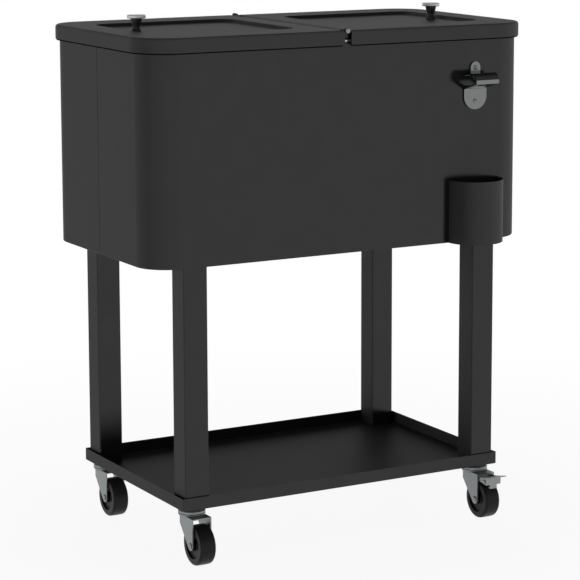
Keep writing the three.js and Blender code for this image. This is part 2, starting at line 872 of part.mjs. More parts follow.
// A leg: a hollow square tube on a foot plate with a hole for the caster's stem.
function leg() {
  const top = legBottom + legLength;
  const foot = legBottom + legFootPlate;
  return cut(
    prism(centred(legSide, legSide, legCorner), legBottom, top),
    prism(centred(legSide, legSide, legWall, legWall), foot, top + overrun),
    prism(circle(0, 0, stemRadius + gap), legBottom - overrun, foot + overrun),
  );
}

const corners = [
  { name: 'front_left', x: -legX, y: -legY, brake: false },
  { name: 'front_right', x: legX, y: -legY, brake: true },
  { name: 'back_left', x: -legX, y: legY, brake: false },
  { name: 'back_right', x: legX, y: legY, brake: true },
];

function shelfTray() {
  const panTop = trayBottom + trayRim;
  const pan = cut(
    prism(centred(trayWidth, trayDepth, 0), trayBottom, panTop),
    prism(centred(trayWidth, trayDepth, traySheet, traySheet), trayFloor, panTop + overrun),
  );
  const holes = corners.map(({ x, y }) => (
    prism(circle(x, y, stemRadius + gap), trayBottom - overrun, trayFloor + overrun)
  ));
  return cut(pan, ...holes);
}

// Caster sizes that follow
const wheelY = -wheelTrail;
const forkFront = wheelY - forkNose;
const forkHalf = hubHalf + forkGap + forkSheet;
const pivotY = wheelY - pedalPivotAhead;
const pivotZ = axleHeight + pedalPivotUp;

// The swivel race with its threaded stem above and its king pin below, all on one axis.
function casterMount() {
  const headTop = crownUnder - gap;
  const headBottom = headTop - kingpinHeadHeight;
  return turned([
    [0, headBottom],
    [kingpinHead, headBottom],
    [kingpinHead, headTop],
    [kingpinRadius, headTop],
    [kingpinRadius, raceBottom],
    [raceRadius, raceBottom],
    [raceRadius, raceTop - raceTaper],
    [raceNeck, raceTop],
    [stemRadius, raceTop],
    [stemRadius, raceTop + stemLength],
    [0, raceTop + stemLength],
  ], roundSteps);
}

// A pair of equal sheets, left and right of the caster's middle plane.
function sheetPair(outline, half, thickness) {
  return join(prismX(outline, -half, -half + thickness), prismX(outline, half - thickness, half));
}

function holeAlongX(y, z, radius) {
  return prismX(circle(y, z, radius), -forkHalf - overrun, forkHalf + overrun);
}

// The fork is a folded sheet: a crown under the race and two sides down to the axle. A fork with a
// brake also has a short apron in front, which carries the pedal's two ears.
function casterFork(brake) {
  const shoulder = [forkBack, crownTop - forkShoulder];
  const [run, rise] = [shoulder[0] - wheelY, shoulder[1] - axleHeight];
  const tangent = Math.atan2(rise, run) - Math.acos(forkNose / Math.hypot(run, rise));
  const side = [
    [forkFront, crownTop],
    ...arc(wheelY, axleHeight, forkNose, 180, 360 + THREE.MathUtils.radToDeg(tangent), cornerSteps),
    shoulder,
    [forkBack, crownTop],
  ];
  const crown = join(
    prism(circle(0, 0, crownRadius), crownUnder, crownTop),
    block(-forkHalf, forkHalf, forkFront, forkBack, crownUnder, crownTop),
  );
  const body = join(crown, sheetPair(side, forkHalf, forkSheet));
  const kingpinHole = prism(circle(0, 0, kingpinRadius + gap), crownUnder - overrun, crownTop + overrun);
  const plain = cut(body, kingpinHole, holeAlongX(wheelY, axleHeight, axleRadius + gap));
  if (!brake) return plain;
  const apronBottom = crownUnder - apronHeight;
  const apron = block(-forkHalf, forkHalf, forkFront, forkFront + forkSheet, apronBottom, crownTop);
  const root = forkFront + forkSheet / 2;
  const ears = sheetPair([
    [root, crownTop - brakeEarDrop],
    ...arc(pivotY, pivotZ, brakeEarRadius, 90, 270, cornerSteps),
    [root, apronBottom + forkSheet],
  ], brakeEarHalf, forkSheet);
  return cut(join(plain, apron, ears), holeAlongX(pivotY, pivotZ, brakePinRadius + gap));
}

// A pin along X with a head at each end, outside what it holds.
function headedPin(y, z, radius, head, headHeight, half) {
  const [inner, outer] = [half + gap, half + gap + headHeight];
  return turnedX([
    [0, -outer],
    [head, -outer],
    [head, -inner],
    [radius, -inner],
    [radius, inner],
    [head, inner],
    [head, outer],
    [0, outer],
  ], y, z, roundSteps);
}

// The wheel is moulded in one: a tread with rounded edges, dished sides and a hub. It stands on a flat.
function casterWheel() {
  const tread = wheelRadius / Math.cos(Math.PI / wheelSteps);
  const dish = tyreHalf - wheelDish;
  const edge = arc(tread - tyreEdge, tyreHalf - tyreEdge, tyreEdge, 0, 90, smallSteps - 1);
  const half = [
    ...edge,
    [wheelDishRadius, tyreHalf],
    [wheelDishRadius, dish],
    [hubRadius, dish],
    [hubRadius, hubHalf],
    [axleRadius + gap, hubHalf],
  ];
  const otherHalf = half.map(([radius, x]) => [radius, -x]).reverse();
  const profile = [...half, ...otherHalf, half[0]];
  return turnedX(profile, wheelY, axleHeight, wheelSteps, Math.PI / wheelSteps);
}

// The brake pedal turns on a pin through the fork's ears; its shoe swings back towards the tread.
function brakePedal() {
  const [front, top] = [pivotY - pedalNose, pivotZ + pedalRise];
  const low = pivotZ - pedalNoseDrop;
  const side = [
    [front, top],
    [front, low],
    [pivotY + pedalTail, pivotZ - pedalTailDrop],
    [pivotY + pedalTail, pivotZ + pedalLipRise],
  ];
  const face = block(-pedalHalf, pedalHalf, front, front + pedalSheet, low, top);
  const toe = prismX([
    [front + pedalSheet, top],
    [front - pedalToe, top + pedalToeRise],
    [front - pedalToe, top + pedalToeRise - pedalSheet],
    [front, top - pedalSheet],
    [front + pedalSheet, top - pedalSheet],
  ], -pedalHalf, pedalHalf);
  const shoe = prismX([
    [front, pivotZ],
    [front, pivotZ - pedalShoeDrop],
    [front + pedalShoeDepth, pivotZ - pedalShoeDrop],
    [front + pedalShoeDepth, pivotZ - pedalShoeDrop + pedalShoe],
    [front + pedalSheet, pivotZ - pedalShoeDrop + pedalShoe],
    [front + pedalSheet, pivotZ],
  ], -pedalShoeHalf, pedalShoeHalf);
  const body = join(sheetPair(side, pedalHalf, pedalSheet), face, toe, shoe);
  return cut(body, holeAlongX(pivotY, pivotZ, brakePinRadius + gap));
}

function caster({ name, brake }) {
  const group = new THREE.Group();
  group.add(piece(`${name}_caster_mount`, casterMount(), 'zinc'));
  group.add(piece(`${name}_caster_fork`, casterFork(brake), 'zinc'));
  const axle = headedPin(wheelY, axleHeight, axleRadius, axleHead, axleHeadHeight, forkHalf);
  group.add(piece(`${name}_caster_axle`, axle, 'zinc'));
  group.add(piece(`${name}_caster_wheel`, casterWheel(), 'tyre'));
  if (brake) {
    const pin = headedPin(pivotY, pivotZ, brakePinRadius, brakePinHead, brakePinHeadHeight, pedalHalf);
    group.add(piece(`${name}_brake_pin`, pin, 'zinc'));
    group.add(piece(`${name}_brake_pedal`, brakePedal(), 'zinc'));
  }
  return group;
}

function addStand(group) {
  group.add(piece('shelf_tray', shelfTray(), 'coat'));
  for (const corner of corners) {
    const stand = new THREE.Group();
    stand.position.set(corner.x, corner.y, 0);
    stand.add(piece(`${corner.name}_leg`, leg(), 'coat'));
    stand.add(caster(corner));
    group.add(stand);
  }
}

// The origin is on the ground, at the middle of the whole cooler's width and depth.
const foremost = Math.max(-tubFront + gap + catcherReach, legY - pivotY + pedalNose + pedalToe);
const cooler = new THREE.Group();
cooler.position.y = (foremost - lidFront) / 2;
addTub(cooler);
addDrain(cooler);
addLids(cooler);
addHinge(cooler);
addFrontFittings(cooler);
addStand(cooler);

export default cooler;
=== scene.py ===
import json
import math

import bmesh
import bpy
from bpy.props import FloatProperty, FloatVectorProperty, PointerProperty
from bpy.types import Operator, Panel, PropertyGroup
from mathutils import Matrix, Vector

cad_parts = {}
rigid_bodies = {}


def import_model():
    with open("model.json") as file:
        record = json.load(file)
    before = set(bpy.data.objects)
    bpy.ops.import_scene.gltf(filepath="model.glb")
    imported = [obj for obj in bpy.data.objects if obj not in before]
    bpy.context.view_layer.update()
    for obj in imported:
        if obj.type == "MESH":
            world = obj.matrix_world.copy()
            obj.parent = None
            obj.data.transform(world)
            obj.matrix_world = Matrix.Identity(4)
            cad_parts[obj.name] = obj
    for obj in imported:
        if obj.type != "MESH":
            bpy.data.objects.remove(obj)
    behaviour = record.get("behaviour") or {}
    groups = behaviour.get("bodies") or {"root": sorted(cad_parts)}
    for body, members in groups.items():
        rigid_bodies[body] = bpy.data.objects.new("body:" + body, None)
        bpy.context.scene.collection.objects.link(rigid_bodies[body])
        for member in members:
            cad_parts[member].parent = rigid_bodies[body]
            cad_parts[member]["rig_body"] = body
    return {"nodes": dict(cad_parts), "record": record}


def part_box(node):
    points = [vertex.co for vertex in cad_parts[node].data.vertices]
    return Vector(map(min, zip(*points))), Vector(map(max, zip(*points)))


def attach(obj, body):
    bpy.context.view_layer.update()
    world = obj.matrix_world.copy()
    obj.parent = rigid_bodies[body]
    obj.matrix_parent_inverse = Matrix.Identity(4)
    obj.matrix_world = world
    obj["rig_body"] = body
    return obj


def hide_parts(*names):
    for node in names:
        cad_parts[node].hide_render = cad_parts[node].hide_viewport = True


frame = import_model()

bl_info = {
    "name": "Patio cooler",
    "version": (1, 0, 0),
    "blender": (4, 5, 0),
    "location": "View3D > Sidebar > Cooler",
    "description": "An insulated tub with two lids, a bottle opener and a cap catcher, on legs with casters",
    "category": "Add Mesh",
}

UP = Vector((0, 0, 1))
DOWN = -UP
TO_RIGHT = Vector((1, 0, 0))
TO_BACK = Vector((0, 1, 0))
TO_FRONT = -TO_BACK
NODES = frame["nodes"]
CORNERS = ("front_left", "front_right", "back_left", "back_right")
BRAKED = ("front_right", "back_right")
X, Z = 0, 2                 # axes, for tests of place

# Roundness, in steps
BEND_STEPS = 16
EDGE_STEPS = 5
SMALL_STEPS = 3
ROUND_STEPS = 48
WHEEL_STEPS = 72

SOFT_EDGE = 0.0004          # broken edge of cut sheet
SAME = 0.00005              # points this close lie in one plane
MERGED = SAME / 5           # points this close become one
CUT_PAST = 0.004            # how far a cutting shape runs past what it cuts
SEAT_GAP = SOFT_EDGE * 0.75     # between a turned piece and what it stands on
STRIP_GAP = SOFT_EDGE / 8   # between the shells and the strips behind their seams
STRIP_DEPTH = SOFT_EDGE / 2     # from the shells to the strips' inner face

# Directions this close, as cosines, count as the same
UPRIGHT_WITHIN = 0.999
FACING_WITHIN = 0.99

SHARP = 1.0                 # a fold of more than this, in radians, is an edge to round
SMOOTH_BELOW = math.radians(40)
FLAT_WITHIN = math.radians(0.5)

# Heads as shares of their radius, and of their doming counted down from the top
RIVET_HEAD = ((1, 1), (1, 0.55), (0.86, 0.2), (0.55, 0), (0, 0))
PIN_HEAD = ((1, 1), (0.92, 0.45), (0.7, 0.12), (0.4, 0), (0, 0))
CAP_HEAD = ((0.6, 0.5), (0.25, 0), (0, 0))

# Hinge pins, as shares of their head's radius
PIN_SHANK = 0.52
PIN_HEAD_HEIGHT = 0.57

# The space cut for a lid's sunken field, as shares of the slope's width
FIELD_GROW = 1 / 20         # how much wider it starts
FIELD_LIFT = 1 / 200        # how far over the lid it starts

# Places on a knob's stem, as shares of its height
FOOT_TOP = 0.2
WAIST_HEIGHT = 0.26
FLARE_START = 0.36
FLARE_RISE = 0.62

# Screws, as shares of their head's radius and height
SCREW_RIM = 0.25
SCREW_TURNS = range(0, 90, 15)      # degrees
SLOT_REACH = 0.7
SLOT_FLOOR = 0.2

HOOD_CROWN = 0.75           # rise of the opener's hood half way to its crest, as a share of the crest's
GROOVE_PLACE = 0.4          # height of a swivel race's groove, as a share of its straight part

# Dust on a finish: how much paler it makes a colour, and what it adds
DUST_FACTOR = 1.3
DUST_LIGHT = 0.01

# The stage, in metres. The camera's place and its frame's shift come from fitting the photograph.
CAMERA = (-1.9572, -3.5132, 1.1699)
FRAME_SHIFT = (-0.0815, -0.12)
SENSOR = 36                 # millimetres
VIEW_END = 100
LIT = Vector((0, 0, 0.5))   # where the lamps look
FLOOR_SIZE = 60
FLOOR_NEAR = 0.4            # the floor gets whiter from here
FLOOR_FAR = 1.5             # up to here
FLOOR_GLOW = 0.93           # share of its own light in the floor near the object
DOME_START = 0.25           # the surroundings darken in reflections from this height
DOME_END = 0.6              # up to this one


# Sizes and colours that can be changed

def length(name, description, default):
    return FloatProperty(
        name=name, description=description, default=default, min=0.0, unit="LENGTH", precision=4
    )


def share(name, description, default):
    return FloatProperty(
        name=name, description=description, default=default, min=0.0, max=1.0, subtype="FACTOR"
    )


def angle(name, description, degrees):
    return FloatProperty(name=name, description=description, default=math.radians(degrees), unit="ROTATION")


def colour(name, description, default):
    return FloatVectorProperty(
        name=name, description=description, default=default, size=3, min=0.0, max=1.0, subtype="COLOR"
    )


def strength(name, description, default):
    return FloatProperty(name=name, description=description, default=default, min=0.0)


def watts(name, description, default):
    return FloatProperty(name=name, description=description, default=default, min=0.0, unit="POWER")


class CoolerTub(PropertyGroup):
    corner: length("Corner", "Radius of the bends round the tub", 0.056)
    sheet: length("Sheet", "Thickness of the coated sheet", 0.0012)
    lip: length("Lip", "Width of the lip turned in under the tub", 0.018)
    fold: length("Fold", "Radius of the fold at the tub's lower edge", 0.0022)
    seam: length("Seam", "Gap between the front and back shells", 0.0008)
    # The strip behind the seam is near-black painted shade for the seam's gap.
    seam_backing: length("Seam backing", "Half width of the dark strip behind the seam", 0.006)
    flange: length("Flange", "Height of the liner's flange", 0.0027)
    rim: length("Rim", "Width of the liner's flange", 0.0257)
    foam: length("Foam", "From the flange's outer edge to the liner's outside", 0.0232)
    liner_wall: length("Liner wall", "Thickness of the liner", 0.0025)
    liner_edge: length("Liner edge", "Rounding of the liner's mouth", 0.0012)
    liner_floor_edge: length("Floor edge", "Rounding where the liner's floor meets its walls", 0.012)


class CoolerLids(PropertyGroup):
    corner: length("Corner", "Radius of the lids' outer corners", 0.063)
    edge: length("Edge", "Rounding of the lids' top edge", 0.005)
    sheet: length("Sheet", "Thickness of the pressed sheet", 0.0012)
    border_outer: length("Outer border", "Flat border at the sunken field's outer end", 0.054)
    border_inner: length("Inner border", "From the split's middle to the sunken field", 0.05)
    border_end: length("End border", "Flat border before and behind the sunken field", 0.075)
    field_corner: length("Field corner", "Radius of the sunken field's corners", 0.026)
    field_depth: length("Field depth", "Depth of the sunken field", 0.0055)
    field_slope: length("Field slope", "Width of the step down to the field", 0.0028)
    # The seal shows as a line of near-black painted shade under the skirt.
    seal_drop: length("Seal drop", "How far the rubber seal shows under the skirt", 0.0022)
    seal_height: length("Seal height", "Height of the seal", 0.006)
    seal_width: length("Seal width", "Thickness of the seal", 0.0044)
    fall: length("Fall", "How far the facing edges fall away", 0.0014)
    fall_width: length("Fall width", "Width over which the facing edges fall", 0.009)
    notch: length("Notch", "Half width of the notch at the hinge pins", 0.0062)
    notch_depth: length("Notch depth", "Depth of the notch at the hinge pins", 0.03)


class CoolerKnobs(PropertyGroup):
    foot: length("Foot", "Radius of the stem's foot", 0.0078)
    waist: length("Waist", "Radius of the stem's waist", 0.0063)
    shoulder: length("Shoulder", "Radius of the stem's top", 0.0094)
    cap_edge: length("Cap edge", "Rounding of the metal cap", 0.0012)
    pin_edge: length("Pin edge", "Doming of the hinge pins' heads", 0.0009)


class CoolerFittings(PropertyGroup):
    sheet: length("Opener sheet", "Thickness of the bottle opener", 0.0025)
    tab: length("Tab", "Half width of the opener's tab", 0.0096)
    tab_height: length("Tab height", "Height of the opener's tab", 0.02)
    hood_height: length("Hood height", "Height of the hood at the wall", 0.027)
    crest_reach: length("Crest reach", "From the wall to the hood's crest", 0.03)
    crest_rise: length("Crest rise", "Height of the crest over the hood's foot", 0.003)
    shoulder_reach: length("Shoulder reach", "From the wall to the hood's shoulder", 0.037)
    shoulder_drop: length("Shoulder drop", "Drop of the shoulder under the hood's foot", 0.001)
    lip_drop: length("Lip drop", "From the hood's foot down to the lip", 0.0083)
    lip_height: length("Lip height", "Height of the lip", 0.0064)
    mouth: length("Mouth", "Half width of the opener's mouth", 0.0135)
    mouth_start: length("Mouth start", "From the wall to the mouth", 0.009)
    mouth_end: length("Mouth end", "From the wall to the mouth's far edge", 0.034)
    bend: length("Bend", "Rounding of the opener's folds", 0.0026)
    catcher_sheet: length("Catcher sheet", "Thickness of the cap catcher", 0.0014)
    catcher_head: length("Keyhole", "Radius of the keyholes' round part", 0.0046)
    catcher_lift: length("Keyhole height", "How far the catcher lifts off its screws", 0.008)
    screw_head: length("Screw head", "Radius of the screws' heads", 0.0038)
    screw_dome: length("Screw dome", "Height of the screws' heads", 0.0019)
    screw_shank: length("Screw shank", "Radius of the screws' shanks", 0.002)
    screw_slot: length("Screw slot", "Half width of the cross in the screws' heads", 0.0006)


class CoolerStand(PropertyGroup):
    leg_corner: length("Leg corner", "Rounding of the legs' edges", 0.0025)
    leg_wall: length("Leg wall", "Wall of the legs", 0.0016)
    tray_sheet: length("Tray sheet", "Thickness of the shelf tray", 0.0015)
    tray_fold: length("Tray fold", "Rounding of the tray's folds", 0.0016)


class CoolerCasters(PropertyGroup):
    tyre_edge: length("Tread edge", "Rounding of the wheels' tread", 0.004)
    tyre_half: length("Tread half width", "Half width of the wheels' tread", 0.014)
    crown: length("Tread crown", "How much the tread is domed", 0.0003)
    dish: length("Dish", "How far the wheels' sides are sunk", 0.004)
    dish_radius: length("Dish radius", "Radius of the sunk sides", 0.022)
    hub: length("Hub", "Radius of the wheels' hub", 0.009)
    axle: length("Axle", "Radius of the axle", 0.003)
    axle_head: length("Axle head", "Radius of the axle's riveted heads", 0.0052)
    axle_head_height: length("Axle head height", "Height of the axle's heads", 0.0018)
    bore_gap: length("Bore gap", "Play between a wheel and its axle", 0.0003)
    race: length("Race", "Radius of the swivel race", 0.0225)
    race_neck: length("Race neck", "Radius of the race's top", 0.017)
    race_height: length("Race height", "Height of the race", 0.0112)
    race_taper: length("Race taper", "Height of the race's sloping part", 0.0045)
    race_groove: length("Race groove", "Depth of the groove between the race's halves", 0.0012)
    kingpin: length("King pin", "Radius of the pin through the fork", 0.0047)
    kingpin_head: length("King pin head", "Radius of the king pin's head", 0.008)
    kingpin_head_height: length("King pin head height", "Height of the king pin's head", 0.0025)
    stem: length("Stem", "Radius of the threaded stem", 0.005)
    fork_edge: length("Fork edge", "Rounding of the fork's edges", 0.0005)
    pedal_edge: length("Pedal edge", "Rounding of the pedal's edges", 0.0005)
    brake_pin: length("Brake pin", "Radius of the brake's pin", 0.0022)
    brake_pin_head: length("Brake pin head", "Radius of the brake pin's heads", 0.0036)
    brake_pin_head_height: length("Brake pin head height", "Height of the brake pin's heads", 0.0012)


class CoolerFinish(PropertyGroup):
    coat: colour("Coat", "Textured powder coat", (0.036, 0.036, 0.0375))
    opener: colour("Opener", "Plated sheet of the opener", (0.185, 0.19, 0.19))
    cap: colour("Knob cap", "Satin metal", (0.5, 0.51, 0.52))
    zinc: colour("Zinc", "Plated steel of the casters and screws", (0.245, 0.265, 0.265))
    steel: colour("Steel", "Dark oiled steel of the lid hinge", (0.03, 0.03, 0.032))
    liner: colour("Liner", "Moulded liner and lid panels", (0.6, 0.61, 0.62))
    foam: colour("Foam", "Insulation", (0.75, 0.68, 0.45))
    plastic: colour("Plastic", "Knob stems and drain", (0.03, 0.03, 0.031))
    tyre: colour("Tyre", "Moulded wheels", (0.0085, 0.0086, 0.009))
    # Near-black without gloss: painted shade, for the gaps under the lids' skirts and behind the seams, and
    # on the centre bar in the hinge notches.
    rubber: colour("Rubber", "Seal under the lids' skirts", (0.004, 0.004, 0.004))
    coat_roughness: share("Coat roughness", "Roughness of the powder coat", 0.51)


class CoolerStage(PropertyGroup):
    floor: colour("Floor", "Pale floor", (0.7, 0.7, 0.7))
    azimuth: angle("Azimuth", "Looking direction, from the front towards the left end", 30.14)
    elevation: angle("Elevation", "How far the camera looks down", 9.15)
    lens: FloatProperty(name="Lens", description="Focal length in millimetres", default=147.2, min=1.0)
    key: strength("Key", "Low light from the front right", 3.15)
    key_turn: angle("Key turn", "From the front towards the right", 33)
    key_rise: angle("Key rise", "Height over the horizon, negative for a light from below", -7)
    key_width: angle("Key width", "Softness of its shadows", 9)
    left: strength("Left", "Low light from the left end", 2.15)
    left_turn: angle("Left turn", "From the front towards the right", -94)
    left_rise: angle("Left rise", "Height over the horizon, negative for a light from below", -2)
    left_width: angle("Left width", "Softness of its shadows", 20)
    back: watts("Back", "Strength of the lamp behind", 45.0)
    top: watts("Top", "Strength of the lamp overhead", 19.0)
    ambient: share("Ambient", "Light from all round", 0.055)
    overhead: share("Overhead", "How bright the space overhead is in reflections", 0.05)


# Working in edit mode

def deselect():
    bpy.ops.object.select_all(action="DESELECT")


def only(piece):
    deselect()
    piece.select_set(True)
    bpy.context.view_layer.objects.active = piece


def settled(name):
    """The object just added, named, with its place put in its mesh."""
    piece = bpy.context.object
    piece.name = name
    only(piece)
    bpy.ops.object.transform_apply(location=True, rotation=True, scale=True)
    return piece


def block(name, low, high):
    deselect()
    bpy.ops.mesh.primitive_cube_add(size=1, location=(low + high) / 2, scale=high - low)
    return settled(name)


def cylinder(name, radius, depth, centre, steps=ROUND_STEPS, rotation=(0, 0, 0)):
    deselect()
    bpy.ops.mesh.primitive_cylinder_add(
        vertices=steps, radius=radius, depth=depth, location=centre, rotation=rotation
    )
    return settled(name)


def corners_of(part):
    return [part] if isinstance(part, bmesh.types.BMVert) else part.verts


def anything(part):
    return True


def upright(edge):
    first, second = edge.verts
    return abs((first.co - second.co).normalized().dot(UP)) > UPRIGHT_WITHIN


def folded(edge):
    """A sharp edge between two faces."""
    return len(edge.link_faces) == 2 and edge.calc_face_angle() > SHARP


def facing(direction):
    return lambda face: face.normal.dot(direction) > FACING_WITHIN


def at(axis, value):
    """All of the part lies at this place along an axis."""
    return lambda part: all(abs(corner.co[axis] - value) < SAME for corner in corners_of(part))


def above(axis, value):
    return lambda part: all(corner.co[axis] > value for corner in corners_of(part))


def both(*tests):
    return lambda part: all(test(part) for test in tests)


def neither(*tests):
    return lambda part: not any(test(part) for test in tests)


class Shaping:
    """Edit mode on one piece. What is picked is what the next step works on."""

    def __init__(self, piece):
        self.piece = piece

    def __enter__(self):
        only(self.piece)
        bpy.ops.object.mode_set(mode="EDIT")
        return self

    def __exit__(self, *problem):
        bpy.ops.object.mode_set(mode="OBJECT")

    def pick(self, kind, test=anything):
        bpy.ops.mesh.select_mode(type=kind)
        bpy.ops.mesh.select_all(action="DESELECT")
        mesh = bmesh.from_edit_mesh(self.piece.data)
        parts = {"VERT": mesh.verts, "EDGE": mesh.edges, "FACE": mesh.faces}[kind]
        found = [part for part in parts if test(part)]
        if not found:
            raise RuntimeError(f"{self.piece.name}: nothing to pick")
        for part in found:
            part.select_set(True)
        mesh.select_flush_mode()
        bmesh.update_edit_mesh(self.piece.data)

    def bevel(self, width, steps):
        bpy.ops.mesh.bevel(offset=width, segments=steps, affect="EDGES")

    def inset(self, width, depth=0.0):
        bpy.ops.mesh.inset(thickness=width, depth=depth)

    def extrude(self, move):
        bpy.ops.mesh.extrude_region_move(TRANSFORM_OT_translate={"value": move})

    def move(self, move):
        bpy.ops.transform.translate(value=move)

    def resize(self, factors, centre):
        bpy.ops.transform.resize(value=factors, center_override=centre)

    def remove(self):
        bpy.ops.mesh.delete(type="FACE")

    def split(self, point, direction, clear=False, fill=False):
        """Cuts everything along a plane. With clear, what lies ahead of the plane goes."""
        self.pick("VERT")
        bpy.ops.mesh.bisect(plane_co=point, plane_no=direction, clear_outer=clear, use_fill=fill)

    def close_up(self):
        """Doubles merged and faces turned outwards."""
        self.pick("VERT")
        bpy.ops.mesh.remove_doubles(threshold=MERGED)
        bpy.ops.mesh.normals_make_consistent(inside=False)


def modified(piece, kind, **settings):
    only(piece)
    bpy.ops.object.modifier_add(type=kind)
    change = piece.modifiers[-1]
    for name, value in settings.items():
        setattr(change, name, value)
    bpy.ops.object.modifier_apply(modifier=change.name)
    return piece


def walled(piece, thickness):
    """The sheet gets its thickness on the inside."""
    return modified(piece, "SOLIDIFY", thickness=thickness, offset=-1.0, use_even_offset=True)


def softened(piece, width):
    """The sharp edges are broken."""
    return modified(
        piece, "BEVEL", width=width, segments=SMALL_STEPS, limit_method="ANGLE", angle_limit=SMOOTH_BELOW,
        use_clamp_overlap=True,
    )


def combined(piece, others, operation):
    for other in others:
        modified(piece, "BOOLEAN", operation=operation, solver="EXACT", object=other)
        bpy.data.objects.remove(other)


def carved(piece, *cutters):
    combined(piece, cutters, "DIFFERENCE")


def welded(piece, *others):
    combined(piece, others, "UNION")


def copied(piece, name, move=Vector()):
    only(piece)
    bpy.ops.object.duplicate()
    copy = bpy.context.object
    copy.name = name
    with Shaping(copy) as shape:
        shape.pick("VERT")
        shape.move(move)
    return copy


def mirrored(piece, name):
    """A copy on the other side of the middle, with its faces turned out again."""
    copy = copied(piece, name)
    with Shaping(copy) as shape:
        shape.pick("VERT")
        shape.resize((-1, 1, 1), (0, 0, 0))
        shape.pick("VERT")
        bpy.ops.mesh.normals_make_consistent(inside=False)
    return copy


def node_copy(node, name):
    """A piece with the shape of a CAD node, its loose triangles joined into flat faces."""
    piece = bpy.data.objects.new(name, NODES[node].data.copy())
    bpy.context.scene.collection.objects.link(piece)
    piece.data.materials.clear()
    with Shaping(piece) as shape:
        shape.pick("VERT")
        bpy.ops.mesh.remove_doubles(threshold=MERGED)
        bpy.ops.mesh.customdata_custom_splitnormals_clear()
        shape.pick("VERT")
        bpy.ops.mesh.dissolve_limited(angle_limit=FLAT_WITHIN)
    return piece


def traced(name, points, closed=True):
    """A line drawn from corner to corner, started from a small circle merged to one point."""
    deselect()
    bpy.ops.mesh.primitive_circle_add(vertices=SMALL_STEPS, radius=SOFT_EDGE)
    piece = settled(name)
    with Shaping(piece) as shape:
        shape.pick("VERT")
        bpy.ops.mesh.merge(type="CENTER")
        shape.pick("VERT")
        shape.move(points[0])
        for start, end in zip(points, points[1:]):
            bpy.ops.mesh.extrude_vertices_move(TRANSFORM_OT_translate={"value": end - start})
        if closed:
            shape.pick("VERT", lambda corner: len(corner.link_edges) < 2)
            bpy.ops.mesh.edge_face_add()
    return piece


def plate(name, points, thickness):
    """A flat plate with this outline, extruded by a vector."""
    piece = traced(name, points)
    with Shaping(piece) as shape:
        shape.pick("VERT")
        bpy.ops.mesh.edge_face_add()
        shape.extrude(thickness)
        shape.close_up()
    return piece


def spun(name, profile, centre, axis, steps=ROUND_STEPS, closed=False):
    """A body turned about an axis. The profile lists distances from the axis and along it."""
    out = TO_RIGHT if axis.dot(UP) else UP
    points = [centre + out * radius + axis * way for radius, way in profile]
    piece = traced(name, points, closed)
    with Shaping(piece) as shape:
        shape.pick("VERT")
        bpy.ops.mesh.spin(steps=steps, angle=math.tau, center=centre, axis=axis)
        shape.close_up()
    return piece


# Outlines as lists of points

def arc(centre, radius, start, end, steps):
    """Points of an arc in a plane, between two angles in degrees."""
    turns = [math.radians(start + (end - start) * step / steps) for step in range(steps + 1)]
    return [centre + Vector((math.cos(turn), math.sin(turn))) * radius for turn in turns]


def filleted(points, radii):
    """A closed outline with its corners rounded."""
    rounded = []
    for index, (point, radius) in enumerate(zip(points, radii)):
        back = (points[index - 1] - point).normalized()
        ahead = (points[(index + 1) % len(points)] - point).normalized()
        half = back.angle(ahead) / 2
        centre = point + (back + ahead).normalized() * radius / math.sin(half)
        reach = radius / math.tan(half)
        first = (point + back * reach - centre).normalized()
        last = (point + ahead * reach - centre).normalized()
        rounded += [
            centre + first.slerp(last, step / EDGE_STEPS) * radius for step in range(EDGE_STEPS + 1)
        ]
    return rounded


def eased(steps):
    """Values from 0 to 1 that start and end slowly."""
    return [(step / steps) ** 2 * (3 - 2 * step / steps) for step in range(steps + 1)]


def head_profile(radius, top, height, shares):
    """A head's points from its foot up to the axis."""
    return [(radius * out, top - height * down) for out, down in shares]


def middle(node):
    low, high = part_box(node)
    return (low + high) / 2


def underside(node):
    """The middle of a node's lowest face."""
    low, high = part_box(node)
    return Vector(((low.x + high.x) / 2, (low.y + high.y) / 2, low.z))


def span(*nodes):
    """The lowest and highest corner round these nodes."""
    boxes = [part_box(node) for node in nodes]
    low = Vector(min(box[0][axis] for box in boxes) for axis in range(3))
    high = Vector(max(box[1][axis] for box in boxes) for axis in range(3))
    return low, high


# Surface effects

effects = {}


class Wiring:
    """Adds nodes to a tree. What a socket is given is a value, or another socket to link."""

    def __init__(self, tree):
        self.tree = tree

    def give(self, socket, value):
        if isinstance(value, bpy.types.NodeSocket):
            self.tree.links.new(value, socket)
        else:
            socket.default_value = value

    def add(self, kind, inputs=None, **settings):
        node = self.tree.nodes.new(kind)
        for name, value in settings.items():
            setattr(node, name, value)
        for name, value in (inputs or {}).items():
            self.give(node.inputs[name], value)
        return node.outputs

    def math(self, operation, first, second):
        return self.add("ShaderNodeMath", {0: first, 1: second}, operation=operation)[0]

    def spread(self, value, low, high, start=0.0, end=1.0):
        """A value between start and end spread between two others."""
        return self.add("ShaderNodeMapRange", {
            "Value": value, "From Min": start, "From Max": end, "To Min": low, "To Max": high,
        })["Result"]

    def blend(self, first, second, share):
        """The share of the first value and the rest of the second."""
        most = self.math("MULTIPLY", first, share)
        return self.math("ADD", most, self.math("MULTIPLY", second, 1 - share))

    def colour_mix(self, factor, first, second):
        mix = {"Factor": factor, "A": first, "B": second}
        return self.add("ShaderNodeMix", mix, data_type="RGBA")["Result"]

    def effect(self, build, inputs):
        """The node group of an effect, which is built the first time that it is asked for."""
        if build.__name__ not in effects:
            effects[build.__name__] = build()
        return self.add("ShaderNodeGroup", inputs, node_tree=effects[build.__name__])


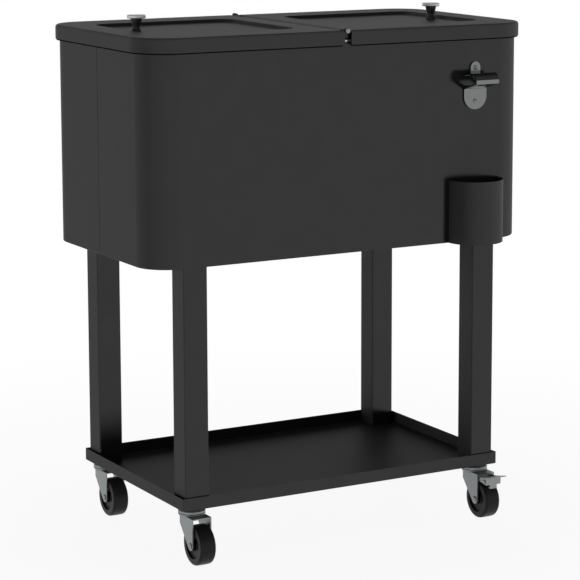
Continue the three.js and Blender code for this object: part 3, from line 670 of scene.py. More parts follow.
class Effect(Wiring):
    """A node group on Object coordinates, whose pattern has a size."""

    def __init__(self, name, outputs, **inputs):
        super().__init__(bpy.data.node_groups.new(name, "ShaderNodeTree"))
        for label, value in {"Size": 1.0, **inputs}.items():
            self.socket(label, "INPUT").default_value = value
        for label in outputs:
            self.socket(label, "OUTPUT")
        self.given = self.tree.nodes.new("NodeGroupInput").outputs
        self.result = self.tree.nodes.new("NodeGroupOutput").inputs
        self.place = self.add("ShaderNodeTexCoord")["Object"]

    def socket(self, label, way):
        return self.tree.interface.new_socket(name=label, in_out=way, socket_type="NodeSocketFloat")

    def scaled(self, scale):
        return self.math("MULTIPLY", self.given["Size"], scale)

    def noise(self, scale, detail, roughness=0.5):
        return self.add("ShaderNodeTexNoise", {
            "Vector": self.place, "Scale": self.scaled(scale), "Detail": detail, "Roughness": roughness,
        })["Fac"]

    def put_out(self, **results):
        for label, value in results.items():
            self.give(self.result[label], value)
        return self.tree


def powder_grain():
    """The fine pebbled skin of powder coat, over faint waves."""
    effect = Effect("Powder grain", ("Height", "Tone"))
    pebbles = effect.noise(scale=900.0, detail=2.0, roughness=0.6)
    waves = effect.noise(scale=28.0, detail=3.0)
    return effect.put_out(Height=pebbles, Tone=effect.blend(pebbles, waves, share=0.65))


def plating_cloud():
    """Cloudy patches and fine pits of plated steel."""
    effect = Effect("Plating cloud", ("Height", "Tone"))
    clouds = effect.noise(scale=120.0, detail=4.0, roughness=0.65)
    pits = effect.add("ShaderNodeTexVoronoi", {
        "Vector": effect.place, "Scale": effect.scaled(600.0),
    })["Distance"]
    return effect.put_out(Height=effect.blend(clouds, pits, share=0.7), Tone=clouds)


def brush_marks():
    """Long fine marks of drawn or brushed metal, along X."""
    effect = Effect("Brush marks", ("Height", "Tone"))
    stretched = {"Vector": effect.place, "Scale": (0.03, 1.0, 1.0)}
    effect.place = effect.add("ShaderNodeMapping", stretched)["Vector"]
    marks = effect.noise(scale=1500.0, detail=3.0, roughness=0.7)
    return effect.put_out(Height=marks, Tone=marks)


def handling_marks():
    """Faint dust and rubbed places from handling, as a mask."""
    effect = Effect("Handling marks", ("Mask",), Amount=0.3)
    blots = effect.noise(scale=16.0, detail=6.0, roughness=0.7)
    strong = effect.spread(blots, 0.0, 1.0, start=0.5, end=0.75)
    return effect.put_out(Mask=effect.math("MULTIPLY", strong, effect.given["Amount"]))


# Finishes

looks = {}


def shade(tint, factor, more=0.0):
    """The colour made darker or lighter, with its alpha."""
    return (*(min(1.0, part * factor + more) for part in tint), 1.0)


def dressed(name, colour_name, rough, grain, size=1.0, metallic=0.0, specular=0.5, tone=0.1,
            rough_range=0.06, bump=0.1, depth=0.0001, marks=0.0):
    """A finish whose colour, roughness and relief follow one grain, with marks of handling over it."""
    if name in looks:
        return looks[name]
    tint = getattr(bpy.context.scene.cooler_finish, colour_name)
    material = bpy.data.materials.new(name)
    material.use_nodes = True
    wiring = Wiring(material.node_tree)
    texture = wiring.effect(grain, {"Size": size})
    mask = wiring.effect(handling_marks, {"Amount": marks})["Mask"]
    tinted = wiring.colour_mix(texture["Tone"], shade(tint, 1 - tone), shade(tint, 1 + tone))
    even = wiring.spread(texture["Tone"], rough - rough_range, rough + rough_range)
    relief = {"Strength": bump, "Distance": depth, "Height": texture["Height"]}
    dusty = shade(tint, DUST_FACTOR, DUST_LIGHT)
    shader = material.node_tree.nodes["Principled BSDF"].inputs
    for field, value in {
        "Base Color": wiring.colour_mix(mask, tinted, dusty),
        "Metallic": metallic,
        "Roughness": wiring.math("ADD", even, wiring.math("MULTIPLY", mask, rough_range)),
        "Specular IOR Level": specular,
        "Normal": wiring.add("ShaderNodeBump", relief)["Normal"],
    }.items():
        wiring.give(shader[field], value)
    looks[name] = material
    return material


def coat_look():
    rough = bpy.context.scene.cooler_finish.coat_roughness
    return dressed("Powder coat", "coat", rough, powder_grain, specular=0.04, tone=0.12, bump=0.35,
                   depth=0.00012, marks=0.15)


def opener_look():
    return dressed("Bright plating", "opener", 0.14, plating_cloud, metallic=1.0, tone=0.04,
                   rough_range=0.03, bump=0.04, depth=0.00005, marks=0.1)


def cap_look():
    return dressed("Satin cap", "cap", 0.3, brush_marks, metallic=1.0, tone=0.04, rough_range=0.04,
                   bump=0.03, depth=0.00003, marks=0.1)


def zinc_look():
    return dressed("Zinc plating", "zinc", 0.42, plating_cloud, metallic=0.85, tone=0.14, bump=0.12,
                   depth=0.00008, marks=0.2)


def steel_look():
    return dressed("Drawn steel", "steel", 0.34, brush_marks, metallic=0.95, depth=0.00005, marks=0.2)


def liner_look():
    return dressed("Liner plastic", "liner", 0.38, powder_grain, size=0.5, tone=0.03, bump=0.06, marks=0.1)


def foam_look():
    return dressed("Foam", "foam", 0.9, powder_grain, size=0.6, tone=0.12, bump=0.5, depth=0.0003)


def plastic_look():
    return dressed("Dark plastic", "plastic", 0.4, powder_grain, size=0.8, specular=0.35, bump=0.08,
                   marks=0.1)


# Near-black and without gloss: painted shade in the gaps under the skirts and behind the seams, and on the
# centre bar in the hinge notches.
def painted_shade_look():
    return dressed("Seal rubber", "rubber", 0.9, powder_grain, specular=0.0, tone=0.2)


def tyre_look():
    return dressed("Wheel plastic", "tyre", 0.35, powder_grain, size=0.7, specular=0.12, tone=0.15,
                   bump=0.12, marks=0.25)


SLOT_LOOKS = {
    "coat": coat_look, "steel": steel_look, "chrome": cap_look, "zinc": zinc_look, "liner": liner_look,
    "foam": foam_look, "plastic": plastic_look, "wheel": tyre_look,
}
SLOTS = {part["node"]: part["material_slot"] for part in frame["record"]["subparts"]}


def finished(piece, node, look=None, body=None):
    """Smooths and dresses a piece and hangs it on its body. Without a body of its own, a piece stands
    for its node. With one, it is a dark extra piece beside the node."""
    only(piece)
    bpy.ops.object.shade_smooth_by_angle(angle=SMOOTH_BELOW)
    modified(piece, "WEIGHTED_NORMAL", keep_sharp=True)
    piece.data.materials.clear()
    piece.data.materials.append((look or SLOT_LOOKS[SLOTS[node]])())
    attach(piece, body or NODES[node]["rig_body"])
    if not body:
        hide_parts(node)


# Pieces

class COOLER_OT_tub(Operator):
    """Front and back shells of bent sheet, with the lip under them and the seam between them"""
    bl_idname = "cooler.tub"
    bl_label = "Tub shells"

    def execute(self, context):
        sizes = context.scene.cooler_tub
        low, high = span("front_shell", "back_shell")
        seam = (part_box("front_shell")[1].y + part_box("back_shell")[0].y) / 2
        shell = block("shell", low, high)
        with Shaping(shell) as shape:
            shape.pick("EDGE", upright)
            shape.bevel(sizes.corner, BEND_STEPS)
            shape.pick("FACE", facing(UP))
            shape.remove()
            shape.pick("FACE", facing(DOWN))
            shape.inset(sizes.lip)
            shape.remove()
            shape.pick("EDGE", folded)
            shape.bevel(sizes.fold, EDGE_STEPS)
        for node, side in (("front_shell", 1), ("back_shell", -1)):
            half = copied(shell, f"{node}_sheet")
            with Shaping(half) as shape:
                shape.split((0, seam - side * sizes.seam / 2, 0), TO_BACK * side, clear=True)
            walled(half, sizes.sheet)
            softened(half, SOFT_EDGE / 2)
            finished(half, node)
        bpy.data.objects.remove(shell)
        for end, outer, inward in (("left", low.x, 1), ("right", high.x, -1)):
            self.backing(end, outer, inward, seam, low.z, high.z, sizes)
        return {"FINISHED"}

    def backing(self, end, outer, inward, seam, bottom, top, sizes):
        """A strip in near-black painted shade that closes the seam from behind, so that the gap shows as
        shade, with its edges rounded.
        """
        near, far = sorted(outer + inward * (sizes.sheet + gap) for gap in (STRIP_GAP, STRIP_DEPTH))
        strip = block(
            f"{end}_seam_strip",
            Vector((near, seam - sizes.seam_backing, bottom + sizes.fold)),
            Vector((far, seam + sizes.seam_backing, top - sizes.sheet)),
        )
        with Shaping(strip) as shape:
            shape.pick("EDGE", upright)
            shape.bevel(STRIP_GAP, SMALL_STEPS)
        finished(strip, "front_shell", look=painted_shade_look, body="cooler")


class COOLER_OT_liner(Operator):
    """Moulded liner with its flange, rounded mouth and floor, and the hole for the drain"""
    bl_idname = "cooler.liner"
    bl_label = "Liner"

    def execute(self, context):
        sizes = context.scene.cooler_tub
        low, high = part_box("inner_liner")
        flange_low = Vector((low.x, low.y, high.z - sizes.flange))
        liner = block("liner", flange_low, high)
        floor = low.z + sizes.liner_wall
        with Shaping(liner) as shape:
            shape.pick("EDGE", upright)
            shape.bevel(sizes.corner, BEND_STEPS)
            shape.pick("FACE", facing(DOWN))
            shape.inset(sizes.foam)
            shape.extrude(DOWN * (flange_low.z - low.z))
            shape.pick("FACE", facing(UP))
            shape.inset(sizes.rim)
            shape.extrude(DOWN * (high.z - floor))
            shape.pick("EDGE", both(folded, at(Z, floor)))
            shape.bevel(sizes.liner_floor_edge, EDGE_STEPS)
            shape.pick("EDGE", both(folded, at(Z, high.z)))
            shape.bevel(sizes.liner_edge, SMALL_STEPS)
        drain = middle("drain_spout")
        cap_low, cap_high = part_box("drain_cap")
        tube = (cap_high.x - cap_low.x) / 2 - sizes.liner_wall
        carved(liner, cylinder("drain_hole", tube, 4 * CUT_PAST, (drain.x, drain.y, low.z)))
        finished(liner, "inner_liner")
        return {"FINISHED"}


class COOLER_OT_lids(Operator):
    """Two lids of pressed sheet with a soft top edge, a sunken field and notches at the hinge pins"""
    bl_idname = "cooler.lids"
    bl_label = "Lids"

    def execute(self, context):
        sizes = context.scene.cooler_lids
        low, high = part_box("left_lid_shell")
        lid = block("left_lid_sheet", low, high)
        with Shaping(lid) as shape:
            shape.pick("EDGE", both(upright, at(X, low.x)))
            shape.bevel(sizes.corner, BEND_STEPS)
            shape.pick("EDGE", both(at(Z, high.z), neither(at(X, high.x))))
            shape.bevel(sizes.edge, EDGE_STEPS)
            shape.split((high.x - sizes.fall_width, 0, 0), TO_RIGHT)
            shape.pick("VERT", both(at(X, high.x), above(Z, high.z - sizes.edge - SAME)))
            shape.move(DOWN * sizes.fall)
        carved(lid, self.field(low, high, sizes))
        with Shaping(lid) as shape:
            shape.pick("FACE", facing(DOWN))
            shape.remove()
            shape.pick("FACE", facing(TO_RIGHT))
            shape.remove()
        walled(lid, sizes.sheet)
        carved(lid, *self.notches(low, high, sizes))
        softened(lid, SOFT_EDGE)
        seal = self.seal(low, high, sizes)
        for node, piece, strip in (
            ("right_lid_shell", mirrored(lid, "right_lid_sheet"), mirrored(seal, "right_lid_seal")),
            ("left_lid_shell", lid, seal),
        ):
            finished(piece, node)
            finished(strip, node, look=painted_shade_look, body=NODES[node]["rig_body"])
        return {"FINISHED"}

    def seal(self, low, high, sizes):
        """A seal strip inside the skirt, which shows a little under its edge, finished in near-black painted
        shade for the dark gap under the skirt.
        """
        inset = sizes.sheet + SOFT_EDGE / 2
        strip = block(
            "left_lid_seal",
            Vector((low.x + inset, low.y + inset, low.z - sizes.seal_drop)),
            Vector((-sizes.notch - CUT_PAST, high.y - inset, low.z + sizes.seal_height)),
        )
        with Shaping(strip) as shape:
            shape.pick("EDGE", both(upright, at(X, low.x + inset)))
            shape.bevel(sizes.corner - inset, BEND_STEPS)
            for direction in (UP, DOWN, TO_RIGHT):
                shape.pick("FACE", facing(direction))
                shape.remove()
        walled(strip, sizes.seal_width)
        return softened(strip, SOFT_EDGE)

    def field(self, low, high, sizes):
        """The space over the sunken field, whose sides ease in and out."""
        grow = sizes.field_slope * FIELD_GROW
        start = high.z + sizes.field_slope * FIELD_LIFT
        space = block(
            "field_space",
            Vector((low.x + sizes.border_outer - grow, low.y + sizes.border_end - grow, start)),
            Vector((grow - sizes.border_inner, high.y - sizes.border_end + grow, high.z + CUT_PAST)),
        )
        steps = 2 * EDGE_STEPS
        with Shaping(space) as shape:
            shape.pick("EDGE", upright)
            shape.bevel(sizes.field_corner + grow, BEND_STEPS)
            shape.pick("FACE", facing(DOWN))
            reached = start
            for drop in eased(steps)[1:]:
                depth = high.z - sizes.field_depth * drop
                shape.inset(sizes.field_slope / steps + grow, reached - depth)
                reached, grow = depth, 0
        return space

    def notches(self, low, high, sizes):
        """The spaces round the hinge pins, across both lids."""
        spaces = []
        for name, front, back in (
            ("front_notch", low.y - CUT_PAST, low.y + sizes.notch_depth),
            ("back_notch", high.y - sizes.notch_depth, high.y + CUT_PAST),
        ):
            space = block(
                name,
                Vector((-sizes.notch, front, low.z - CUT_PAST)),
                Vector((sizes.notch, back, high.z + CUT_PAST)),
            )
            with Shaping(space) as shape:
                shape.pick("EDGE", upright)
                shape.bevel(SOFT_EDGE * 2, SMALL_STEPS)
            spaces.append(space)
        return spaces


class COOLER_OT_knobs(Operator):
    """Flaring knob stems and their bright caps"""
    bl_idname = "cooler.knobs"
    bl_label = "Knobs"

    def execute(self, context):
        sizes = context.scene.cooler_knobs
        for side in ("left", "right"):
            low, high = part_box(f"{side}_knob_stem")
            centre = underside(f"{side}_knob_stem")
            height = high.z - low.z
            stem = spun(f"{side}_stem", self.stem(sizes, height), centre, UP)
            finished(stem, f"{side}_knob_stem")
            cap_low, cap_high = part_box(f"{side}_knob_cap")
            radius = (cap_high.x - cap_low.x) / 2
            under = height + SEAT_GAP
            top = cap_high.z - low.z
            cap = spun(f"{side}_cap", self.cap(sizes, radius, under, top), centre, UP, steps=WHEEL_STEPS)
            finished(cap, f"{side}_knob_cap")
        return {"FINISHED"}

    def stem(self, sizes, height):
        """Straight at the foot, a narrow waist, then flaring to the shoulder."""
        steps = 2 * EDGE_STEPS
        widening = sizes.shoulder - sizes.waist
        flare = [
            (sizes.waist + widening * ease, height * (FLARE_START + FLARE_RISE * step / steps))
            for step, ease in enumerate(eased(steps))
        ]
        return [
            (0, 0), (sizes.foot - SOFT_EDGE, 0), (sizes.foot, SOFT_EDGE), (sizes.foot, height * FOOT_TOP),
            (sizes.waist, height * WAIST_HEIGHT), *flare, (sizes.shoulder - SOFT_EDGE, height), (0, height),
        ]

    def cap(self, sizes, radius, under, top):
        """A disc with rounded rims and a very slight dome."""
        edge = sizes.cap_edge
        lower = arc(Vector((radius - edge, under + edge)), edge, -90, 0, EDGE_STEPS)
        upper = arc(Vector((radius - edge, top - edge - SOFT_EDGE)), edge, 0, 80, EDGE_STEPS)
        return [(0, under), *lower, *upper, *head_profile(radius, top, SOFT_EDGE, CAP_HEAD)]


class COOLER_OT_hinge(Operator):
    """Hinge pins with domed heads"""
    bl_idname = "cooler.hinge"
    bl_label = "Hinge pins"

    def execute(self, context):
        sizes = context.scene.cooler_knobs
        for end, way in (("front", TO_FRONT), ("back", TO_BACK)):
            low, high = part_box(f"{end}_hinge_pin")
            centre = (low + high) / 2
            half = (high.y - low.y) / 2
            head = (high.x - low.x) / 2
            shank = head * PIN_SHANK
            neck = half - head * PIN_HEAD_HEIGHT
            pin = spun(f"{end}_pin", [
                (0, -half), (shank - SOFT_EDGE, -half), (shank, SOFT_EDGE - half), (shank, neck),
                (head, neck), *head_profile(head, half, sizes.pin_edge, PIN_HEAD),
            ], centre, way)
            finished(pin, f"{end}_hinge_pin", look=zinc_look)
        return {"FINISHED"}


class COOLER_OT_opener(Operator):
    """Bottle opener folded from one sheet: tab, hood with its lip, and a half-round plate"""
    bl_idname = "cooler.opener"
    bl_label = "Bottle opener"

    def execute(self, context):
        sizes = context.scene.cooler_fittings
        low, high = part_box("bottle_opener")
        across = Vector((high.x - low.x, 0, 0))
        x, wall = (low.x + high.x) / 2, high.y
        foot = high.z - sizes.tab_height
        hood_bottom = foot - sizes.hood_height
        lip = foot - sizes.lip_drop
        bend = sizes.bend
        outline = (
            (wall, foot, bend),
            (wall - sizes.crest_reach / 2, foot + sizes.crest_rise * HOOD_CROWN, 3 * bend),
            (wall - sizes.crest_reach, foot + sizes.crest_rise, 2 * bend),
            (wall - sizes.shoulder_reach, foot - sizes.shoulder_drop, bend),
            (low.y, lip, bend),
            (low.y, lip - sizes.lip_height, bend),
            (wall, hood_bottom, bend),
        )
        rounded = filleted([Vector((y, z)) for y, z, bent in outline], [bent for y, z, bent in outline])
        hoop = traced("opener_sheet", [Vector((low.x, y, z)) for y, z in rounded])
        with Shaping(hoop) as shape:
            shape.pick("EDGE")
            shape.extrude(across)
            shape.close_up()
            shape.pick("FACE", facing(TO_BACK))
            shape.remove()
        walled(hoop, sizes.sheet)
        tab_top = Vector((x, high.z - sizes.tab))
        tab = [Vector((x - sizes.tab, foot - sizes.sheet)), Vector((x + sizes.tab, foot - sizes.sheet)),
               *arc(tab_top, sizes.tab, 0, 180, BEND_STEPS)]
        half = across.x / 2
        plate_centre = Vector((x, low.z + half))
        lower = [*arc(plate_centre, half, 180, 360, 2 * BEND_STEPS),
                 Vector((high.x, hood_bottom + bend)), Vector((low.x, hood_bottom + bend))]
        for name, points in (("tab", tab), ("wall_plate", lower)):
            flat = plate(name, [Vector((px, wall, pz)) for px, pz in points], TO_FRONT * sizes.sheet)
            welded(hoop, flat)
        mouth = block(
            "mouth",
            Vector((x - sizes.mouth, wall - sizes.mouth_end, hood_bottom - CUT_PAST)),
            Vector((x + sizes.mouth, wall - sizes.mouth_start, lip - sizes.sheet)),
        )
        with Shaping(mouth) as shape:
            shape.pick("EDGE", upright)
            shape.bevel(sizes.bend, SMALL_STEPS)
        carved(hoop, mouth)
        softened(hoop, SOFT_EDGE)
        finished(hoop, "bottle_opener", look=opener_look)
        return {"FINISHED"}


class COOLER_OT_catcher(Operator):
    """Cap catcher: half an oval cup with a rounded rim and keyholes in its flat back"""
    bl_idname = "cooler.catcher"
    bl_label = "Cap catcher"

    def execute(self, context):
        sizes = context.scene.cooler_fittings
        low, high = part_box("cap_catcher")
        wall = high.y
        centre = Vector(((low.x + high.x) / 2, wall, (low.z + high.z) / 2))
        cup = cylinder("catcher_cup", 1, high.z - low.z, centre, steps=2 * ROUND_STEPS)
        with Shaping(cup) as shape:
            shape.pick("VERT")
            shape.resize(((high.x - low.x) / 2, wall - low.y, 1), centre)
            shape.split(centre, TO_BACK, clear=True, fill=True)
            shape.pick("FACE", facing(UP))
            shape.remove()
            shape.pick("EDGE", both(folded, at(Z, low.z)))
            shape.bevel(SOFT_EDGE * 2, SMALL_STEPS)
        walled(cup, sizes.catcher_sheet)
        shank = sizes.screw_shank + SOFT_EDGE
        through = (math.pi / 2, 0, 0)
        for side in ("left", "right"):
            screw = middle(f"catcher_{side}_screw")
            neck = Vector((screw.x, wall, screw.z))
            wide = neck + DOWN * sizes.catcher_lift
            for place, radius in ((neck, shank), (wide, sizes.catcher_head)):
                carved(cup, cylinder("keyhole", radius, CUT_PAST, place, ROUND_STEPS // 2, through))
            reach = Vector((shank, CUT_PAST / 2, 0))
            carved(cup, block("keyhole_slot", wide - reach, neck + reach))
        softened(cup, SOFT_EDGE)
        finished(cup, "cap_catcher")
        return {"FINISHED"}


class COOLER_OT_screws(Operator):
    """Four round-headed screws with a cross in their heads"""
    bl_idname = "cooler.screws"
    bl_label = "Screws"

    def execute(self, context):
        sizes = context.scene.cooler_fittings
        names = ("opener_upper_screw", "opener_lower_screw", "catcher_left_screw", "catcher_right_screw")
        low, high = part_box(names[0])
        centre = Vector(((low.x + high.x) / 2, low.y + sizes.screw_dome, (low.z + high.z) / 2))
        head, dome, shank = sizes.screw_head, sizes.screw_dome, sizes.screw_shank
        ring = [(head * math.cos(turn), dome * (SCREW_RIM + (1 - SCREW_RIM) * math.sin(turn)))
                for turn in map(math.radians, SCREW_TURNS)]
        tip = low.y + dome - high.y
        profile = [(0, tip), (shank, tip), (shank, 0), (head, 0), *ring, (0, dome)]
        screw = spun("screw", profile, centre, TO_FRONT)
        deep = centre + TO_FRONT * dome * SLOT_FLOOR
        along, across = head * SLOT_REACH, sizes.screw_slot
        for name, reach in (("slot", (along, 0, across)), ("cross_slot", (across, 0, along))):
            reach = Vector(reach)
            carved(screw, block(name, deep - reach + TO_FRONT * CUT_PAST, deep + reach))
        for name in names:
            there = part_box(name)[0]
            finished(copied(screw, name.replace("screw", "bolt"), there - low), name)
        bpy.data.objects.remove(screw)
        return {"FINISHED"}


class COOLER_OT_stand(Operator):
    """Square legs of drawn tube and the folded shelf tray"""
    bl_idname = "cooler.stand"
    bl_label = "Legs and tray"

    def execute(self, context):
        sizes = context.scene.cooler_stand
        first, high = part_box("front_left_leg")
        leg = block("leg", first, high)
        with Shaping(leg) as shape:
            shape.pick("EDGE", upright)
            shape.bevel(sizes.leg_corner, EDGE_STEPS)
            shape.pick("FACE", facing(UP))
            shape.remove()
        walled(leg, sizes.leg_wall)
        softened(leg, SOFT_EDGE)
        for corner in CORNERS:
            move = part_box(f"{corner}_leg")[0] - first
            finished(copied(leg, f"{corner}_tube", move), f"{corner}_leg")
        bpy.data.objects.remove(leg)
        tray = block("tray_pan", *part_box("shelf_tray"))
        with Shaping(tray) as shape:
            shape.pick("FACE", facing(UP))
            shape.remove()
            shape.pick("EDGE", folded)
            shape.bevel(sizes.tray_fold, EDGE_STEPS)
        walled(tray, sizes.tray_sheet)
        softened(tray, SOFT_EDGE)
        finished(tray, "shelf_tray")
        return {"FINISHED"}


class COOLER_OT_casters(Operator):
    """Swivel races, forks, riveted axles and moulded wheels"""
    bl_idname = "cooler.casters"
    bl_label = "Casters"

    def execute(self, context):
        sizes = context.scene.cooler_casters
        patterns = {
            "caster_mount": self.mount(sizes),
            "caster_axle": self.axle(sizes),
            "caster_wheel": self.wheel(sizes),
        }
        for kind, pattern in patterns.items():
            start = middle(f"front_left_{kind}")
            for corner in CORNERS:
                node = f"{corner}_{kind}"
                finished(copied(pattern, node.replace("caster", "rolling"), middle(node) - start), node)
            bpy.data.objects.remove(pattern)
        for corner in CORNERS:
            fork = node_copy(f"{corner}_caster_fork", f"{corner}_fork_sheet")
            softened(fork, sizes.fork_edge)
            finished(fork, f"{corner}_caster_fork")
        return {"FINISHED"}

    def mount(self, sizes):
        """The race in two halves with a groove between them, the king pin below and the stem above."""
        low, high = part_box("front_left_caster_mount")
        fork_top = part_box("front_left_caster_fork")[1].z - low.z
        bottom = fork_top + SEAT_GAP
        top = bottom + sizes.race_height
        stem_top = high.z - low.z
        shoulder = top - sizes.race_taper
        head = sizes.kingpin_head_height
        groove = bottom + (shoulder - bottom) * GROOVE_PLACE
        return spun("mount", [
            (0, 0), (sizes.kingpin_head - SOFT_EDGE, 0), (sizes.kingpin_head, SOFT_EDGE),
            (sizes.kingpin_head, head), (sizes.kingpin, head), (sizes.kingpin, bottom),
            (sizes.race - SOFT_EDGE, bottom), (sizes.race, bottom + SOFT_EDGE),
            (sizes.race, groove - sizes.race_groove / 2), (sizes.race - sizes.race_groove, groove),
            (sizes.race, groove + sizes.race_groove / 2), (sizes.race, shoulder - SOFT_EDGE),
            (sizes.race - SOFT_EDGE, shoulder + SOFT_EDGE / 2),
            (sizes.race_neck + SOFT_EDGE, top - SOFT_EDGE / 2), (sizes.race_neck - SOFT_EDGE, top),
            (sizes.stem, top), (sizes.stem, stem_top - SOFT_EDGE), (sizes.stem - SOFT_EDGE, stem_top),
            (0, stem_top),
        ], underside("front_left_caster_mount"), UP)

    def axle(self, sizes):
        return rivet("axle", "front_left_caster_axle", sizes.axle, sizes.axle_head, sizes.axle_head_height)

    def wheel(self, sizes):
        """Domed tread with rounded edges, sunk sides, a hub and a bore."""
        low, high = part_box("front_left_caster_wheel")
        centre = (low + high) / 2
        hub_half = (high.x - low.x) / 2
        radius = (high.z - low.z) / 2
        edge, half = sizes.tyre_edge, sizes.tyre_half
        tread = radius - sizes.crown
        shoulder = arc(Vector((tread - edge, half - edge)), edge, 0, 90, EDGE_STEPS)
        sunk = half - sizes.dish
        right = [
            (radius, 0), *shoulder, (sizes.dish_radius + 3 * SOFT_EDGE, half),
            (sizes.dish_radius + SOFT_EDGE, half - SOFT_EDGE), (sizes.dish_radius, sunk + SOFT_EDGE),
            (sizes.dish_radius - 2 * SOFT_EDGE, sunk), (sizes.hub + 2 * SOFT_EDGE, sunk),
            (sizes.hub, sunk + 2 * SOFT_EDGE), (sizes.hub, hub_half - SOFT_EDGE),
            (sizes.hub - SOFT_EDGE, hub_half), (sizes.axle + sizes.bore_gap, hub_half),
        ]
        left = [(out, -along) for out, along in reversed(right[1:])]
        return spun("wheel", right + left, centre, TO_RIGHT, steps=WHEEL_STEPS, closed=True)


def rivet(name, node, radius, head, height):
    """A pin across the caster with a domed head at each end."""
    low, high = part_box(node)
    half = (high.x - low.x) / 2
    right = [(radius, 0), (radius, half - height), *head_profile(head, half, height, RIVET_HEAD)]
    left = [(out, -along) for out, along in reversed(right[1:])]
    return spun(name, left + right, (low + high) / 2, TO_RIGHT)


class COOLER_OT_brakes(Operator):
    """Brake pedals of folded sheet and their pins"""
    bl_idname = "cooler.brakes"
    bl_label = "Brakes"

    def execute(self, context):
        sizes = context.scene.cooler_casters
        for corner in BRAKED:
            pedal = node_copy(f"{corner}_brake_pedal", f"{corner}_pedal_sheet")
            softened(pedal, sizes.pedal_edge)
            finished(pedal, f"{corner}_brake_pedal")
            node = f"{corner}_brake_pin"
            pin = rivet(f"{corner}_pedal_rivet", node, sizes.brake_pin, sizes.brake_pin_head,
                        sizes.brake_pin_head_height)
            finished(pin, node)
        return {"FINISHED"}


class COOLER_OT_finishes(Operator):
    """Finishes for the CAD nodes that are shown as they are, with near-black painted shade on the centre bar
    in the hinge notches
    """
    bl_idname = "cooler.finishes"
    bl_label = "Other finishes"

    def execute(self, context):
        for node, piece in NODES.items():
            # The centre bar, seen in the hinge notches, takes the near-black painted shade instead of its
            # own finish, so that the notches look shadowed.
            look = painted_shade_look() if node == "centre_bar" else SLOT_LOOKS[SLOTS[node]]()
            for slot in piece.material_slots:
                slot.material = look
        return {"FINISHED"}


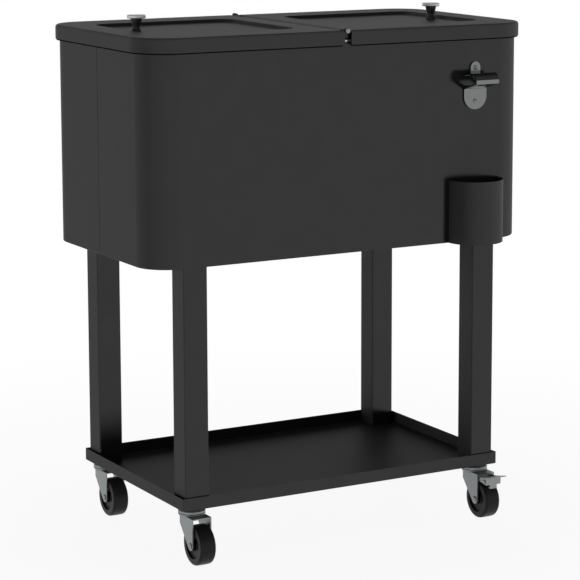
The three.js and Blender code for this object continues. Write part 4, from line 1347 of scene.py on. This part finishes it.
class COOLER_OT_stage(Operator):
    """Pale floor, soft lamps, white surroundings and the camera"""
    bl_idname = "cooler.stage"
    bl_label = "Stage"

    def execute(self, context):
        settings = context.scene.cooler_stage
        context.scene.view_settings.view_transform = "Standard"
        self.floor(settings)
        self.world(context.scene, settings)
        for name, turn, rise, away, wide, tall in (
            ("back", 160, 12, 3.2, 1.6, 1.2),
            ("top", 0, 88, 3.0, 1.6, 1.6),
        ):
            self.light(name, "AREA", math.radians(turn), math.radians(rise), away, shape="RECTANGLE",
                       energy=getattr(settings, name), size=wide, size_y=tall)
        for name in ("key", "left"):
            turn, rise, width = (getattr(settings, f"{name}_{part}") for part in ("turn", "rise", "width"))
            self.light(name, "SUN", turn, rise, 1, energy=getattr(settings, name), angle=width)
        self.camera(context.scene, settings)
        return {"FINISHED"}

    def light(self, name, kind, turn, rise, away, **settings):
        """A light turned from the front towards the right, which looks at the object's middle."""
        flat = math.cos(rise)
        out = Vector((math.sin(turn) * flat, -math.cos(turn) * flat, math.sin(rise)))
        turned = out.to_track_quat("Z", "Y").to_euler()
        deselect()
        bpy.ops.object.light_add(type=kind, location=LIT + out * away, rotation=turned)
        lamp = bpy.context.object
        lamp.name = f"{name}_lamp"
        lamp.visible_glossy = False
        for field, value in settings.items():
            setattr(lamp.data, field, value)

    def floor(self, settings):
        """A wide pale floor. Where it is seen directly, most of its brightness is its own, and it
        throws no shadow, because two of the lights come from a little under it."""
        deselect()
        bpy.ops.mesh.primitive_plane_add(size=FLOOR_SIZE)
        floor = settled("floor")
        material = bpy.data.materials.new("Floor")
        material.use_nodes = True
        wiring = Wiring(material.node_tree)
        shader = material.node_tree.nodes["Principled BSDF"]
        for field, value in {
            "Base Color": (*settings.floor, 1), "Roughness": 0.9, "Specular IOR Level": 0.0,
        }.items():
            wiring.give(shader.inputs[field], value)
        glow = wiring.add("ShaderNodeEmission", {"Color": (1, 1, 1, 1), "Strength": 1.0})["Emission"]
        place = wiring.add("ShaderNodeTexCoord")["Object"]
        away = wiring.add("ShaderNodeVectorMath", {0: place}, operation="LENGTH")["Value"]
        whiter = wiring.spread(away, FLOOR_GLOW, 1.0, start=FLOOR_NEAR, end=FLOOR_FAR)
        path = wiring.add("ShaderNodeLightPath")
        straight = wiring.math("MAXIMUM", path["Is Camera Ray"], path["Is Glossy Ray"])
        seen = wiring.math("MAXIMUM", straight, path["Is Transmission Ray"])
        mix = wiring.add("ShaderNodeMixShader", {
            "Fac": wiring.math("MULTIPLY", seen, whiter), 1: shader.outputs["BSDF"], 2: glow,
        })["Shader"]
        wiring.give(material.node_tree.nodes["Material Output"].inputs["Surface"], mix)
        floor.data.materials.append(material)
        floor.visible_shadow = False

    def world(self, scene, settings):
        """White where it is seen, dark overhead in reflections, and faint as light."""
        world = bpy.data.worlds.new("Surroundings")
        world.use_nodes = True
        scene.world = world
        wiring = Wiring(world.node_tree)
        direction = wiring.add("ShaderNodeTexCoord")["Generated"]
        height = wiring.add("ShaderNodeSeparateXYZ", {"Vector": direction})["Z"]
        dome = wiring.spread(height, 1.0, settings.overhead, start=DOME_START, end=DOME_END)
        path = wiring.add("ShaderNodeLightPath")
        lit = wiring.spread(path["Is Glossy Ray"], settings.ambient, dome)
        seen = wiring.math("MAXIMUM", path["Is Camera Ray"], path["Is Transmission Ray"])
        background = world.node_tree.nodes["Background"].inputs
        wiring.give(background["Color"], (1, 1, 1, 1))
        wiring.give(background["Strength"], wiring.spread(seen, lit, 1.0))

    def camera(self, scene, settings):
        deselect()
        turned = (math.pi / 2 - settings.elevation, 0, -settings.azimuth)
        bpy.ops.object.camera_add(location=CAMERA, rotation=turned)
        scene.camera = bpy.context.object
        lens = scene.camera.data
        lens.lens = settings.lens
        lens.sensor_width = SENSOR
        lens.shift_x, lens.shift_y = FRAME_SHIFT
        lens.clip_end = VIEW_END


OPERATORS = (
    COOLER_OT_tub, COOLER_OT_liner, COOLER_OT_lids, COOLER_OT_knobs, COOLER_OT_hinge, COOLER_OT_opener,
    COOLER_OT_catcher, COOLER_OT_screws, COOLER_OT_stand, COOLER_OT_casters, COOLER_OT_brakes,
    COOLER_OT_finishes, COOLER_OT_stage,
)
SETTINGS = {
    "cooler_tub": CoolerTub, "cooler_lids": CoolerLids, "cooler_knobs": CoolerKnobs,
    "cooler_fittings": CoolerFittings, "cooler_stand": CoolerStand, "cooler_casters": CoolerCasters,
    "cooler_finish": CoolerFinish, "cooler_stage": CoolerStage,
}


class COOLER_PT_pieces(Panel):
    """The cooler's sizes and the steps that build it"""
    bl_idname = "COOLER_PT_pieces"
    bl_label = "Patio cooler"
    bl_space_type = "VIEW_3D"
    bl_region_type = "UI"
    bl_category = "Cooler"

    def draw(self, context):
        for operator in OPERATORS:
            self.layout.operator(operator.bl_idname)
        for name in SETTINGS:
            settings = getattr(context.scene, name)
            box = self.layout.box()
            for field in type(settings).__annotations__:
                box.prop(settings, field)


def register():
    for kind in (*SETTINGS.values(), *OPERATORS, COOLER_PT_pieces):
        bpy.utils.register_class(kind)
    for name, kind in SETTINGS.items():
        setattr(bpy.types.Scene, name, PointerProperty(type=kind))


def unregister():
    for name in SETTINGS:
        delattr(bpy.types.Scene, name)
    for kind in reversed((*SETTINGS.values(), *OPERATORS, COOLER_PT_pieces)):
        bpy.utils.unregister_class(kind)


def main():
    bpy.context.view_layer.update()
    register()
    for operator in OPERATORS:
        family, step = operator.bl_idname.split(".")
        getattr(getattr(bpy.ops, family), step)()


if __name__ == "__main__":
    main()
